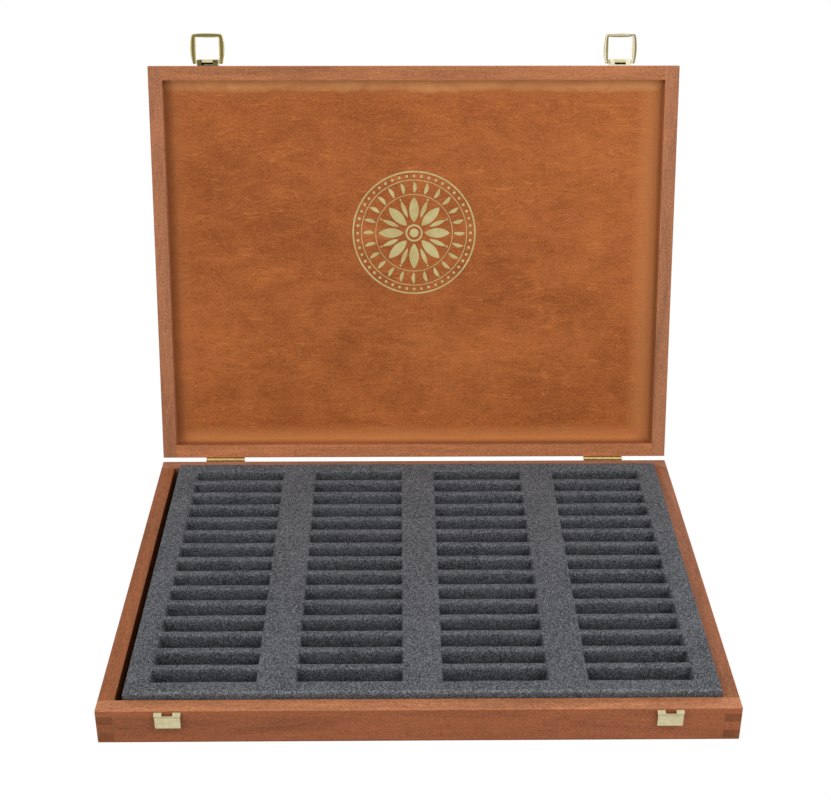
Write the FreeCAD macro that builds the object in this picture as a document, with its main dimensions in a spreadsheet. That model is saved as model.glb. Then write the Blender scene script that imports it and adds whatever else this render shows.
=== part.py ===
import FreeCAD, Part
import math
import os

import Sketcher

# Shallow wooden case for pastel sticks: a finger-jointed tray with a slotted foam insert, and a lid on two
# stop hinges, held shut by two brass toggle latches.
#
# Frame of the closed case, in millimetres: X to the right, Y to the back, Z up, the origin in the middle of
# the tray's underside. Each piece of the lid is drawn on the closed case and then swung open about the
# hinge pins, because the case rests with its lid open.

doc = FreeCAD.newDocument("pastel_case")

DIMENSIONS = [
    # wooden case
    ("case_width", 420, "outside, left to right"),
    ("case_depth", 320, "outside, front to back"),
    ("base_height", 26, "tray, outside"),
    ("lid_height", 13, "lid, outside"),
    ("rail_thickness", 11, "solid wood of tray and lid"),
    ("rim_gap", 0.3, "between the closed rims"),
    ("panel_thickness", 4, "plywood of bottom and lid"),
    ("rebate_width", 5, "step in the rails that takes the plywood"),
    ("edge_round", 0.6, "sanded outer edges"),
    ("finger_height", 6.6, "finger of the corner joint"),
    ("rim_finger", 4.7, "finger cut short by the saw at the tray's rim"),
    # foam insert
    ("foam_side_play", 6, "inner width less foam width"),
    ("foam_right_gap", 0.6, "the foam is pushed to the right wall"),
    ("foam_depth_play", 3, "inner depth less foam depth"),
    ("foam_front_gap", 0.4, "and to the front wall"),
    ("foam_proud", 5.4, "foam above the tray's rim"),
    ("slot_layer", 14, "thickness of the foam sheet with slots"),
    ("slot_length", 70.5, "one slot"),
    ("slot_width", 13.2, "one slot"),
    ("slot_pitch_x", 96.5, "from column to column"),
    ("slot_pitch_y", 18.4, "from row to row"),
    ("slot_least_margin", 11, "foam left beside the outer slots"),
    # hinges
    ("hinge_spacing", 316, "between the middles of the two hinges"),
    ("knuckle_length", 8, "one of four knuckles"),
    ("knuckle_radius", 2, "outside of the barrel"),
    ("knuckle_gap", 0.15, "between two knuckles"),
    ("hinge_pin_radius", 0.95, "hinge pin"),
    ("pin_clearance", 0.05, "round every pin that turns"),
    ("leaf_thickness", 0.9, "hinge leaf"),
    ("leaf_margin", 1.15, "from the leaf's free edge to the lid's outer face"),
    ("leaf_screw_edge", 4.5, "from the leaf's free edge to the screws"),
    ("leaf_screw_spacing", 18, "between the two screws of a leaf"),
    ("stop_length", 3.2, "stop tail, from the barrel"),
    ("stop_gap", 0.05, "between the stop tail and the leaf it holds"),
    ("tail_root", 0.3, "from the bore to where the tail starts inside the barrel"),
    ("lid_angle", 104.4, "opening at which the stop tails hold the lid"),
    ("screw_head_radius", 1.8, "countersunk screw"),
    ("screw_radius", 0.9, "countersunk screw"),
    ("screw_length", 8, "countersunk screw"),
    ("screw_slot_width", 0.5, "driver slot"),
    ("screw_slot_depth", 0.4, "driver slot"),
    # latches, on the lid
    ("latch_spacing", 326, "between the middles of the two latches"),
    ("sheet_metal", 0.8, "brass sheet of plates, levers and strikes"),
    ("latch_plate_width", 16, "plate on the lid"),
    ("latch_plate_start", 1.2, "from the lid's rim to the plate"),
    ("latch_plate_margin", 1.0, "from the plate to the lid's outer face"),
    ("ear_width", 3.6, "each of the two ears that hold the lever's pin"),
    ("ear_radius", 1.35, "rounded top of an ear"),
    ("lever_pin_rise", 3.0, "lever pin above the rim"),
    ("lever_pin_stand", 3.3, "lever pin in front of the wood"),
    ("lever_pin_radius", 0.65, "lever pin"),
    ("lever_knuckle_radius", 1.3, "curl of the lever round its pin"),
    ("lever_side_gap", 0.15, "between lever and ears, and lever and bail"),
    ("lever_margin", 0.6, "from the lever's free end to the lid's outer face"),
    ("lever_lip", 0.5, "raised edge at the lever's free end"),
    ("flange_start", 4.1, "lever's side flanges above the rim"),
    ("flange_end", 10.2, "lever's side flanges above the rim"),
    ("flange_stand", 1.2, "lever's side flanges before the wood"),
    ("nail_head_radius", 1.0, "nail of the latch plate"),
    ("nail_head_height", 0.4, "nail of the latch plate"),
    ("nail_radius", 0.5, "nail of the latch plate"),
    ("nail_length", 6, "nail of the latch plate"),
    ("nail_edge", 2.4, "from the plate's outer edge to the nails"),
    ("nail_spacing", 9, "between the two nails of a plate"),
    # bails
    ("bail_pin_rise", 5.8, "bail pivot above the rim"),
    ("bail_pin_stand", 2.9, "bail pivot in front of the wood, behind the lever pin's line"),
    ("bail_pin_radius", 0.7, "bail pivot"),
    ("bail_thickness", 1.5, "stamped brass"),
    ("bail_pin_end", 0.4, "bail pivot past the plate's edge"),
    ("bail_arm_end_width", 3.0, "arm at the pivot"),
    ("bail_arm_tip_width", 3.5, "arm at the bar"),
    ("bail_arm_radius", 42, "bulged outer edge of an arm"),
    ("bail_bar_width", 2.5, "bar at its ends"),
    ("bail_bar_radius", 96, "bulged edges of the bar"),
    ("bail_corner_radius", 2.4, "outer corner"),
    ("hook_gap", 0.2, "between the hooked bar and the strike"),
    # strikes, on the tray
    ("strike_drop", 1.0, "from the tray's rim to the strike"),
    ("strike_width", 17.8, "strike"),
    ("strike_height", 11.5, "strike"),
    ("strike_stand", 2.5, "front of the strike before the wood"),
    ("strike_notch_width", 7.5, "notch in the strike's top"),
    ("strike_notch_depth", 3.5, "notch in the strike's top"),
    ("strike_prong", 6, "prongs driven into the wood"),
]

sheet = doc.addObject("Spreadsheet::Sheet", "sizes")
for row, (alias, value, note) in enumerate(DIMENSIONS, start=1):
    sheet.set(f"A{row}", alias.replace("_", " "))
    sheet.set(f"B{row}", str(value))
    sheet.setAlias(f"B{row}", alias)
    sheet.set(f"C{row}", note)
doc.recompute()

ALIASES = {alias for alias, _, _ in DIMENSIONS}
HINGE_Y = "case_depth / 2 + knuckle_radius"
HINGE_Z = "base_height + rim_gap / 2"
LID_RIM = "base_height + rim_gap"
FRONT = "-case_depth / 2"
BACK = "case_depth / 2"
SIDES = (("left", "-"), ("right", ""))


def bound(expression):
    """The expression with every dimension's name pointing at its cell in the sheet."""
    words, word = [], ""
    for letter in str(expression) + " ":
        if letter.isalnum() or letter == "_":
            word += letter
            continue
        words.append("sizes." + word if word in ALIASES else word)
        words.append(letter)
        word = ""
    return "".join(words).strip()


def number(expression):
    """The value, in millimetres or degrees, of an expression in the dimensions."""
    return float(sheet.evalExpression(bound(expression)))


def place(piece, x="0", y="0", z="0", turn=FreeCAD.Rotation(), on_lid=False):
    """Puts a piece at expressions of the dimensions, and swings it open about the hinge pins if on_lid."""
    if on_lid:
        out, up = f"(({y}) - ({HINGE_Y}))", f"(({z}) - ({HINGE_Z}))"
        y = f"{HINGE_Y} + {out} * cos(lid_angle) + {up} * sin(lid_angle)"
        z = f"{HINGE_Z} - {out} * sin(lid_angle) + {up} * cos(lid_angle)"
        turn = FreeCAD.Rotation(FreeCAD.Vector(1, 0, 0), -number("lid_angle")).multiply(turn)
    piece.Placement = FreeCAD.Placement(FreeCAD.Vector(), turn)
    for axis, expression in zip("xyz", (x, y, z)):
        piece.setExpression("Placement.Base." + axis, bound(expression))


def block(name, size, corner):
    """A box with its size and its lowest corner as expressions."""
    box = doc.addObject("Part::Box", name)
    for edge, expression in zip(("Length", "Width", "Height"), size):
        box.setExpression(edge, bound(expression))
    place(box, *corner)
    return box


def rod(name, radius, length, start, on_lid=False):
    """A cylinder along X, from its start towards +X."""
    cylinder = doc.addObject("Part::Cylinder", name)
    cylinder.setExpression("Radius", bound(radius))
    cylinder.setExpression("Height", bound(length))
    place(cylinder, *start, turn=FreeCAD.Rotation(FreeCAD.Vector(0, 1, 0), 90), on_lid=on_lid)
    return cylinder


def joined(name, pieces):
    """The union of several pieces."""
    union = doc.addObject("Part::MultiFuse", name)
    union.Shapes = pieces
    return union


def less(name, piece, tools):
    """A piece with the tools cut away."""
    cut = doc.addObject("Part::Cut", name)
    cut.Base = piece
    cut.Tool = tools[0] if len(tools) == 1 else joined(name + "_tools", tools)
    return cut


def inside(name, piece, envelope):
    """The part of a piece that lies in an envelope."""
    common = doc.addObject("Part::Common", name)
    common.Base = piece
    common.Tool = envelope
    return common


def origin_plane(body, role):
    """One of a body's own origin planes."""
    return [feature for feature in body.Origin.OriginFeatures if feature.Role == role][0]


def new_sketch(body, name, role, offset):
    """An empty sketch on one of a body's origin planes, or moved off it along the plane's normal."""
    sketch = body.newObject("Sketcher::SketchObject", name)
    sketch.AttachmentSupport = (origin_plane(body, role), [""])
    sketch.MapMode = "FlatFace"
    sketch.setExpression("AttachmentOffset.Base.z", bound(offset))
    return sketch


def outline(body, name, role, points, arcs=None, offset="0"):
    """A closed sketch through points given as pairs of expressions.

    arcs maps the index of a side to (radius, turn): a bulged side instead of a straight one, its centre to
    the left of the direction of travel where turn is 1 and to the right where it is -1.
    """
    arcs = arcs or {}
    sketch = new_sketch(body, name, role, offset)
    spots = [FreeCAD.Vector(number(u), number(v), 0) for u, v in points]
    count = len(points)
    ends = []
    for side in range(count):
        start, stop = spots[side], spots[(side + 1) % count]
        if side not in arcs:
            sketch.addGeometry(Part.LineSegment(start, stop))
            ends.append((1, 2))
            continue
        radius, turn = number(arcs[side][0]), arcs[side][1]
        chord = stop - start
        left = FreeCAD.Vector(-chord.y, chord.x, 0).normalize()
        rise = math.sqrt(max(0.0, radius**2 - (chord.Length / 2) ** 2))
        centre = (start + stop) * 0.5 + left * turn * rise
        angles = [math.atan2(p.y - centre.y, p.x - centre.x) for p in (start, stop)]
        circle = Part.Circle(centre, FreeCAD.Vector(0, 0, 1), radius)
        first, last = angles if turn > 0 else reversed(angles)
        sketch.addGeometry(Part.ArcOfCircle(circle, first, last))
        ends.append((1, 2) if turn > 0 else (2, 1))
    for side in range(count):
        following = (side + 1) % count
        sketch.addConstraint(
            Sketcher.Constraint("Coincident", side, ends[side][1], following, ends[following][0])
        )
    for side, (u, v) in enumerate(points):
        for kind, expression in (("DistanceX", u), ("DistanceY", v)):
            rule = Sketcher.Constraint(kind, -1, 1, side, ends[side][0], number(expression))
            sketch.setExpression(f"Constraints[{sketch.addConstraint(rule)}]", bound(expression))
    for side, (radius, turn) in arcs.items():
        rule = Sketcher.Constraint("Radius", side, number(radius))
        sketch.setExpression(f"Constraints[{sketch.addConstraint(rule)}]", bound(radius))
    return sketch


def ring(body, name, role, centre, radius, offset="0"):
    """A sketch of one circle."""
    sketch = new_sketch(body, name, role, offset)
    middle = FreeCAD.Vector(number(centre[0]), number(centre[1]), 0)
    sketch.addGeometry(Part.Circle(middle, FreeCAD.Vector(0, 0, 1), number(radius)))
    for kind, expression in (("DistanceX", centre[0]), ("DistanceY", centre[1])):
        rule = Sketcher.Constraint(kind, -1, 1, 0, 3, number(expression))
        sketch.setExpression(f"Constraints[{sketch.addConstraint(rule)}]", bound(expression))
    rule = Sketcher.Constraint("Radius", 0, number(radius))
    sketch.setExpression(f"Constraints[{sketch.addConstraint(rule)}]", bound(radius))
    return sketch


def rectangle(body, name, role, low, high, offset="0"):
    """A sketch of a rectangle between two corners."""
    (left, bottom), (right, top) = low, high
    corners = [(left, bottom), (right, bottom), (right, top), (left, top)]
    return outline(body, name, role, corners, offset=offset)


def pad(body, sketch, length, middle=False, reverse=False):
    """Material on a sketch, to one side of its plane or to both."""
    feature = body.newObject("PartDesign::Pad", sketch.Name + "_pad")
    feature.Profile = sketch
    feature.SideType = "Symmetric" if middle else "One side"
    feature.Reversed = reverse
    feature.setExpression("Length", bound(length))
    sketch.Visibility = False
    return feature


def pocket(body, sketch, length, middle=False, reverse=False):
    """A pocket cut from a sketch's plane; the volume shows that it cuts."""
    doc.recompute()
    before = body.Shape.Volume
    feature = body.newObject("PartDesign::Pocket", sketch.Name + "_pocket")
    feature.Profile = sketch
    feature.SideType = "Symmetric" if middle else "One side"
    feature.Reversed = reverse
    feature.setExpression("Length", bound(length))
    doc.recompute()
    if body.Shape.Volume > before - 1e-3:
        raise RuntimeError(f"{feature.Name} cuts nothing")
    return feature


def repeated(body, feature, sketch, steps):
    """A feature repeated: each step is the sketch's axis, the spacing along it and how many there are."""
    doc.recompute()
    rows = []
    for axis, spacing, count in steps:
        row = body.newObject("PartDesign::LinearPattern", f"{feature.Name}_{axis}")
        row.Direction = (sketch, [axis])
        row.Mode = "Spacing"
        row.setExpression("Offset", bound(spacing))
        row.Occurrences = count
        rows.append(row)
    if len(rows) == 1:
        rows[0].Originals = [feature]
        body.Tip = rows[0]
        return
    grid = body.newObject("PartDesign::MultiTransform", feature.Name + "_grid")
    grid.Originals = [feature]
    grid.Transformations = rows
    body.Tip = grid


def new_body(name):
    """An empty PartDesign body."""
    return doc.addObject("PartDesign::Body", name)


NODES = {}


def node(name, piece):
    """Names a finished piece."""
    piece.Label = name
    NODES[name] = piece
    return piece


def built(name, piece, tools=(), on_lid=False):
    """A finished piece made from a drawn one: the tools are cut away and it is swung open with the lid."""
    if tools:
        finished = less(name + "_cut", piece, list(tools))
    else:
        finished = doc.addObject("Part::Compound", name + "_group")
        finished.Links = [piece]
    place(finished, on_lid=on_lid)
    return node(name, finished)


# Wooden frames. Each frame is four rails with finger joints at the corners. Seen from the rim, the corner is
# a stack of layers that belong in turn to the front and back rails and to the side rails.


def layer_heights(height, first):
    """Expressions for the layers of one frame from its rim: a first one, whole fingers and the rest."""
    layers, used = [first], f"({first})"
    while number(height) - number(used) > number("finger_height"):
        layers.append("finger_height")
        used += " + finger_height"
    return layers + [f"{height} - ({used})"]


def frame(prefix, floor, height, rim_at_top, first, front_is_first):
    """Four rails and the plywood panel let into a rebate on the side away from the rim."""
    panel_floor = floor if rim_at_top else f"{floor} + {height} - panel_thickness"
    half_x = "(case_width / 2 - rail_thickness + rebate_width)"
    half_y = "(case_depth / 2 - rail_thickness + rebate_width)"
    panel = block(
        prefix + "_plywood",
        (f"2 * {half_x}", f"2 * {half_y}", "panel_thickness"),
        (f"-{half_x}", f"-{half_y}", panel_floor),
    )
    envelope = new_body(prefix + "_envelope")
    sketch = rectangle(
        envelope,
        prefix + "_envelope_plan",
        "XY_Plane",
        ("-case_width / 2", "-case_depth / 2"),
        ("case_width / 2", "case_depth / 2"),
    )
    solid = pad(envelope, sketch, height)
    doc.recompute()
    rounded = envelope.newObject("PartDesign::Fillet", prefix + "_sanded_edges")
    rounded.Base = (solid, ["Edge1"])
    rounded.UseAllEdges = True
    rounded.setExpression("Radius", bound("edge_round"))
    place(envelope, z=floor)

    layers = layer_heights(height, first)
    rails = {
        "front": ("case_width", "rail_thickness", "-case_width / 2", "-case_depth / 2"),
        "back": ("case_width", "rail_thickness", "-case_width / 2", "case_depth / 2 - rail_thickness"),
        "left": ("rail_thickness", "case_depth", "-case_width / 2", "-case_depth / 2"),
        "right": ("rail_thickness", "case_depth", "case_width / 2 - rail_thickness", "-case_depth / 2"),
    }
    finished = {}
    for side, (length, width, x, y) in rails.items():
        along_x = side in ("front", "back")
        plank = block(f"{prefix}_{side}_plank", (length, width, height), (x, y, floor))
        tools = [panel]
        used = "0"
        for index, layer in enumerate(layers):
            bottom = f"{floor} + {height} - ({used}) - ({layer})" if rim_at_top else f"{floor} + {used}"
            used = f"{used} + ({layer})"
            own = (index % 2 == 0) == (front_is_first == along_x)
            if own:
                continue
            for end in (0, 1):
                shift = f" + {end} * (case_width - rail_thickness)" if along_x else ""
                slide = "" if along_x else f" + {end} * (case_depth - rail_thickness)"
                tools.append(
                    block(
                        f"{prefix}_{side}_notch_{index}_{end}",
                        ("rail_thickness", "rail_thickness", layer),
                        (x + shift, y + slide, bottom),
                    )
                )
        notched = less(f"{prefix}_{side}_notched", plank, tools)
        finished[side] = inside(f"{prefix}_{side}_sanded", notched, envelope)
    return finished, inside(prefix + "_panel_sanded", panel, envelope)


base_rails, base_panel = frame("base", "0", "base_height", True, "rim_finger", True)
lid_rails, lid_panel = frame("lid", LID_RIM, "lid_height", False, "finger_height", False)


# Foam insert: a slotted sheet on a plain one. As many slots as fit are cut, and the grid is centred. The
# slotted sheet is drawn as the bars that stand between its slots: long strips from front to back, and short
# webs between two strips. They meet face to face, and what they leave open is the slots.

foam_width = "(case_width - 2 * rail_thickness - foam_side_play)"
foam_depth = "(case_depth - 2 * rail_thickness - foam_depth_play)"
foam_left = f"case_width / 2 - rail_thickness - foam_right_gap - {foam_width}"
foam_front = "-case_depth / 2 + rail_thickness + foam_front_gap"
foam_split = "base_height + foam_proud - slot_layer"

foam_base = block(
    "foam_under",
    (foam_width, foam_depth, f"{foam_split} - panel_thickness"),
    (foam_left, foam_front, "panel_thickness"),
)
node("foam_base_layer", foam_base)


def slots_that_fit(room, slot, pitch):
    """How many slots on a pitch fit between the two least margins."""
    free = number(room) - 2 * number("slot_least_margin") - number(slot)
    return 1 + int(free / number(pitch) + 1e-6)


def bars_between(room, count, slot, pitch):
    """The start and the width of each bar before, between and after a row of slots."""
    margin = f"({room} - {count - 1} * {pitch} - {slot}) / 2"
    bars = [("0", margin)]
    for step in range(count - 1):
        bars.append((f"{margin} + {step} * {pitch} + {slot}", f"{pitch} - {slot}"))
    bars.append((f"{room} - {margin}", margin))
    return bars


columns = slots_that_fit(foam_width, "slot_length", "slot_pitch_x")
rows = slots_that_fit(foam_depth, "slot_width", "slot_pitch_y")
strips = bars_between(foam_width, columns, "slot_length", "slot_pitch_x")
webs = bars_between(foam_depth, rows, "slot_width", "slot_pitch_y")
foam_bars = []
for column, (x, width) in enumerate(strips):
    spot = (f"{foam_left} + {x}", foam_front, foam_split)
    foam_bars.append(block(f"foam_strip_{column}", (width, foam_depth, "slot_layer"), spot))
for column, (x, width) in enumerate(strips[:-1]):
    for row, (y, depth) in enumerate(webs):
        spot = (f"{foam_left} + {x} + {width}", f"{foam_front} + {y}", foam_split)
        foam_bars.append(block(f"foam_web_{column}_{row}", ("slot_length", depth, "slot_layer"), spot))
foam_sheet = doc.addObject("Part::Compound", "foam_sheet")
foam_sheet.Links = foam_bars
node("foam_slotted_layer", foam_sheet)


# Fasteners. A blank is turned about the Y axis, its head's rim at the origin and its point towards -Y, and
# repeated for the second one of the same hardware.

SCREW_PROFILE = [
    ("0", "0"),
    ("screw_head_radius", "0"),
    ("screw_radius", "-leaf_thickness"),
    ("screw_radius", "-screw_length + 2 * screw_radius"),
    ("0", "-screw_length"),
]
NAIL_PROFILE = [
    ("0", "nail_head_height"),
    ("nail_head_radius / 2", "nail_head_height"),
    ("nail_head_radius", "0"),
    ("nail_radius", "0"),
    ("nail_radius", "-nail_length + 2 * nail_radius"),
    ("0", "-nail_length"),
]
HALF_TURN = FreeCAD.Rotation(FreeCAD.Vector(0, 0, 1), 180)


def fastener_pairs(name, profile, apart, hardware_spacing, y, z, towards_back=False):
    """Two blanks in each of the two pieces of hardware, as one compound."""
    pairs = []
    for side, sign in SIDES:
        body = new_body(f"{name}_{side}")
        sketch = outline(body, f"{name}_{side}_profile", "XY_Plane", profile)
        turned = body.newObject("PartDesign::Revolution", f"{name}_{side}_turned")
        turned.Profile = sketch
        turned.ReferenceAxis = (sketch, ["V_Axis"])
        turned.Angle = 360
        repeated(body, turned, sketch, [("H_Axis", apart, 2)])
        first = f"{apart} / 2" if towards_back else f"-{apart} / 2"
        turn = HALF_TURN if towards_back else FreeCAD.Rotation()
        place(body, f"{sign}{hardware_spacing} / 2 + {first}", y, z, turn)
        pairs.append(body)
    group = doc.addObject("Part::Compound", name + "_blanks")
    group.Links = pairs
    return group


def slotted(name, blanks, z, on_lid=False):
    """Countersunk screws with a driver slot in each head."""
    cuts = []
    for side, sign in SIDES:
        for place_in_leaf in ("-", "+"):
            middle = f"{sign}hinge_spacing / 2 {place_in_leaf} leaf_screw_spacing / 2"
            cuts.append(
                block(
                    f"{name}_slot",
                    ("screw_slot_width", "2 * screw_slot_depth", "2 * screw_head_radius"),
                    (
                        f"{middle} - screw_slot_width / 2",
                        f"{BACK} + leaf_thickness - screw_slot_depth",
                        f"{z} - screw_head_radius",
                    ),
                )
            )
    return built(name, blanks, cuts, on_lid)


LEAF_HEIGHT = "(lid_height + rim_gap / 2 - leaf_margin)"
LEAF_FACE = f"{BACK} + leaf_thickness"
BASE_SCREW_Z = f"{HINGE_Z} - ({LEAF_HEIGHT} - leaf_screw_edge)"
LID_SCREW_Z = f"{HINGE_Z} + {LEAF_HEIGHT} - leaf_screw_edge"
PLATE_TOP = "(lid_height - latch_plate_margin)"
NAIL_Z = f"{LID_RIM} + {PLATE_TOP} - nail_edge"

base_screws = fastener_pairs(
    "base_screws", SCREW_PROFILE, "leaf_screw_spacing", "hinge_spacing", LEAF_FACE, BASE_SCREW_Z
)
lid_screws = fastener_pairs(
    "lid_screws", SCREW_PROFILE, "leaf_screw_spacing", "hinge_spacing", LEAF_FACE, LID_SCREW_Z
)
latch_nails = fastener_pairs(
    "nails", NAIL_PROFILE, "nail_spacing", "latch_spacing", f"{FRONT} - sheet_metal", NAIL_Z, True
)
slotted("hinge_base_screws", base_screws, BASE_SCREW_Z)
slotted("hinge_lid_screws", lid_screws, LID_SCREW_Z, on_lid=True)
built("latch_plate_nails", latch_nails, on_lid=True)


# Stop hinges. A leaf's own frame has its origin on the pin, in the middle of the four knuckles. The tray's
# leaf hangs down from the pin and the lid's leaf stands up from it, both flat on the wood behind the case.
# The knuckles belong in turn to the tray and the lid. Each of the tray's knuckles ends in a straight tail,
# on which the lid's leaf comes to rest when the lid is open.

KNUCKLES = 4
BARREL_LENGTH = f"{KNUCKLES} * knuckle_length"

def leaf(name, sign, own, middle):
    """One hinge leaf: sign is - for the tray's and empty for the lid's, own lists its knuckles."""
    body = new_body(name)
    wood, outside = "-knuckle_radius", "-knuckle_radius + leaf_thickness"
    free_edge = f"{sign}{LEAF_HEIGHT}"
    low, high = (free_edge, "0") if sign else ("0", free_edge)
    plate = rectangle(body, name + "_plate", "YZ_Plane", (wood, low), (outside, high))
    pad(body, plate, BARREL_LENGTH, middle=True)
    barrel = ring(body, name + "_barrel", "YZ_Plane", ("0", "0"), "knuckle_radius")
    pad(body, barrel, BARREL_LENGTH, middle=True)
    clear = "(knuckle_radius + 2 * knuckle_gap)"
    for index in range(KNUCKLES):
        if index in own:
            continue
        start = f"{index - KNUCKLES // 2} * knuckle_length - knuckle_gap"
        gap = rectangle(
            body,
            f"{name}_gap_{index}",
            "XZ_Plane",
            (start, f"-{clear}"),
            (f"{start} + knuckle_length + 2 * knuckle_gap", clear),
        )
        pocket(body, gap, f"2 * {clear}", middle=True)
    if sign:
        for index in own:
            tail(body, f"{name}_tail_{index}", f"{index - KNUCKLES // 2} * knuckle_length")
    bore = ring(body, name + "_bore", "YZ_Plane", ("0", "0"), "hinge_pin_radius + pin_clearance")
    pocket(body, bore, BARREL_LENGTH, middle=True)
    place(body, middle, HINGE_Y, HINGE_Z)
    return body


def tail(body, name, start):
    """A stop tail: a strip under the open lid's leaf, from the barrel outwards."""
    near = "-knuckle_radius + leaf_thickness + stop_gap"
    far = f"{near} + leaf_thickness"
    inner, outer = "hinge_pin_radius + pin_clearance + tail_root", "knuckle_radius + stop_length"
    corners = []
    for across, along in ((near, inner), (near, outer), (far, outer), (far, inner)):
        corners.append(
            (
                f"({across}) * cos(lid_angle) + ({along}) * sin(lid_angle)",
                f"-({across}) * sin(lid_angle) + ({along}) * cos(lid_angle)",
            )
        )
    pad(body, outline(body, name, "YZ_Plane", corners, offset=start), "knuckle_length")


for side, sign in SIDES:
    middle = f"{sign}hinge_spacing / 2"
    base_leaf = leaf(f"{side}_base_leaf", "-", (0, 2), middle)
    lid_leaf = leaf(f"{side}_lid_leaf", "", (1, 3), middle)
    built(f"hinge_{side}_base_leaf", base_leaf, [base_screws])
    built(f"hinge_{side}_lid_leaf", lid_leaf, [lid_screws], on_lid=True)
    pin = rod(
        f"{side}_hinge_pin",
        "hinge_pin_radius",
        BARREL_LENGTH,
        (f"{middle} - {BARREL_LENGTH} / 2", HINGE_Y, HINGE_Z),
    )
    node(f"hinge_{side}_pin", pin)


# Strikes. A strip bent to an angle: its top is driven into the tray's front rail as two prongs, and its
# front hangs clear of the wood, so that a bail can hook under its lower edge.


def strike(name, middle):
    """One strike, its own frame at the wood's face and the strike's top."""
    body = new_body(name + "_body")
    front, inner = "-strike_stand", "-strike_stand + sheet_metal"
    profile = outline(
        body,
        name + "_profile",
        "YZ_Plane",
        [
            (front, "0"),
            (front, "-strike_height"),
            (inner, "-strike_height"),
            (inner, "-sheet_metal"),
            ("strike_prong", "-sheet_metal"),
            ("strike_prong", "0"),
        ],
    )
    pad(body, profile, "strike_width", middle=True)
    notch = rectangle(
        body,
        name + "_notch",
        "XZ_Plane",
        ("-strike_notch_width / 2", "-strike_notch_depth"),
        ("strike_notch_width / 2", "sheet_metal"),
    )
    pocket(body, notch, "2 * (strike_prong + strike_stand)", middle=True)
    place(body, middle, FRONT, "base_height - strike_drop")
    return node(name, body)


# Toggle latches. The plate is nailed to the lid's front. Its two ears hold the pin of the lever, and the
# bail turns in the lever's side flanges, nearer to the wood than the lever's pin, so that its pull keeps the
# closed lever down. Every piece is drawn from the wood's face, -Y outwards, and from the lid's rim, Z up.

PLATE_HALF = "latch_plate_width / 2"
FLANGE_INSIDE = f"({PLATE_HALF} + lever_side_gap)"
BAIL_INSIDE = f"({FLANGE_INSIDE} + sheet_metal + lever_side_gap)"
LEVER_FRONT = "-lever_pin_stand - lever_knuckle_radius"


def latch_plate(name, middle):
    """The plate with its two ears."""
    body = new_body(name)
    flat = rectangle(
        body, name + "_flat", "YZ_Plane", ("-sheet_metal", "latch_plate_start"), ("0", PLATE_TOP)
    )
    pad(body, flat, "latch_plate_width", middle=True)
    low, high = "lever_pin_rise - ear_radius", "lever_pin_rise + ear_radius"
    profile = [
        ("-sheet_metal / 2", low),
        ("-lever_pin_stand", low),
        ("-lever_pin_stand - ear_radius", "lever_pin_rise"),
        ("-lever_pin_stand", high),
        ("-sheet_metal / 2", high),
    ]
    rounded = {1: ("ear_radius", -1), 2: ("ear_radius", -1)}
    for side, start in (("left", f"-{PLATE_HALF}"), ("right", f"{PLATE_HALF} - ear_width")):
        ear = outline(body, f"{name}_{side}_ear", "YZ_Plane", profile, rounded, offset=start)
        pad(body, ear, "ear_width")
    axis = ("-lever_pin_stand", "lever_pin_rise")
    bore = ring(body, name + "_bore", "YZ_Plane", axis, "lever_pin_radius + pin_clearance")
    pocket(body, bore, "latch_plate_width", middle=True)
    place(body, middle, FRONT, LID_RIM)
    return body


def lever(name, middle):
    """The lever: a curl round the pin, a cover plate with a lip, and two flanges for the bail."""
    body = new_body(name)
    axis = ("-lever_pin_stand", "lever_pin_rise")
    between_ears = "latch_plate_width - 2 * ear_width - 2 * lever_side_gap"
    width = f"2 * ({FLANGE_INSIDE} + sheet_metal)"
    free_end = "lid_height - lever_margin"
    behind = f"{LEVER_FRONT} + sheet_metal"
    cover_start = "lever_pin_rise + ear_radius + 2 * lever_side_gap"
    curl = ring(body, name + "_curl", "YZ_Plane", axis, "lever_knuckle_radius")
    pad(body, curl, between_ears, middle=True)
    tongue = rectangle(
        body, name + "_tongue", "YZ_Plane", (LEVER_FRONT, "lever_pin_rise"), (behind, free_end)
    )
    pad(body, tongue, between_ears, middle=True)
    cover = rectangle(body, name + "_cover", "YZ_Plane", (LEVER_FRONT, cover_start), (behind, free_end))
    pad(body, cover, width, middle=True)
    lip = rectangle(
        body,
        name + "_lip",
        "YZ_Plane",
        (f"{LEVER_FRONT} - lever_lip", f"{free_end} - sheet_metal"),
        (behind, free_end),
    )
    pad(body, lip, between_ears, middle=True)
    for side, start in (("left", f"-{FLANGE_INSIDE} - sheet_metal"), ("right", FLANGE_INSIDE)):
        flange = rectangle(
            body,
            f"{name}_{side}_flange",
            "YZ_Plane",
            (LEVER_FRONT, "flange_start"),
            ("-flange_stand", "flange_end"),
            offset=start,
        )
        pad(body, flange, "sheet_metal")
    bore = ring(body, name + "_bore", "YZ_Plane", axis, "lever_pin_radius + pin_clearance")
    pocket(body, bore, between_ears, middle=True)
    pivot = ("-bail_pin_stand", "bail_pin_rise")
    holes = ring(body, name + "_pivot_holes", "YZ_Plane", pivot, "bail_pin_radius + pin_clearance")
    pocket(body, holes, width, middle=True)
    place(body, middle, FRONT, LID_RIM, on_lid=True)
    return body


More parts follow.
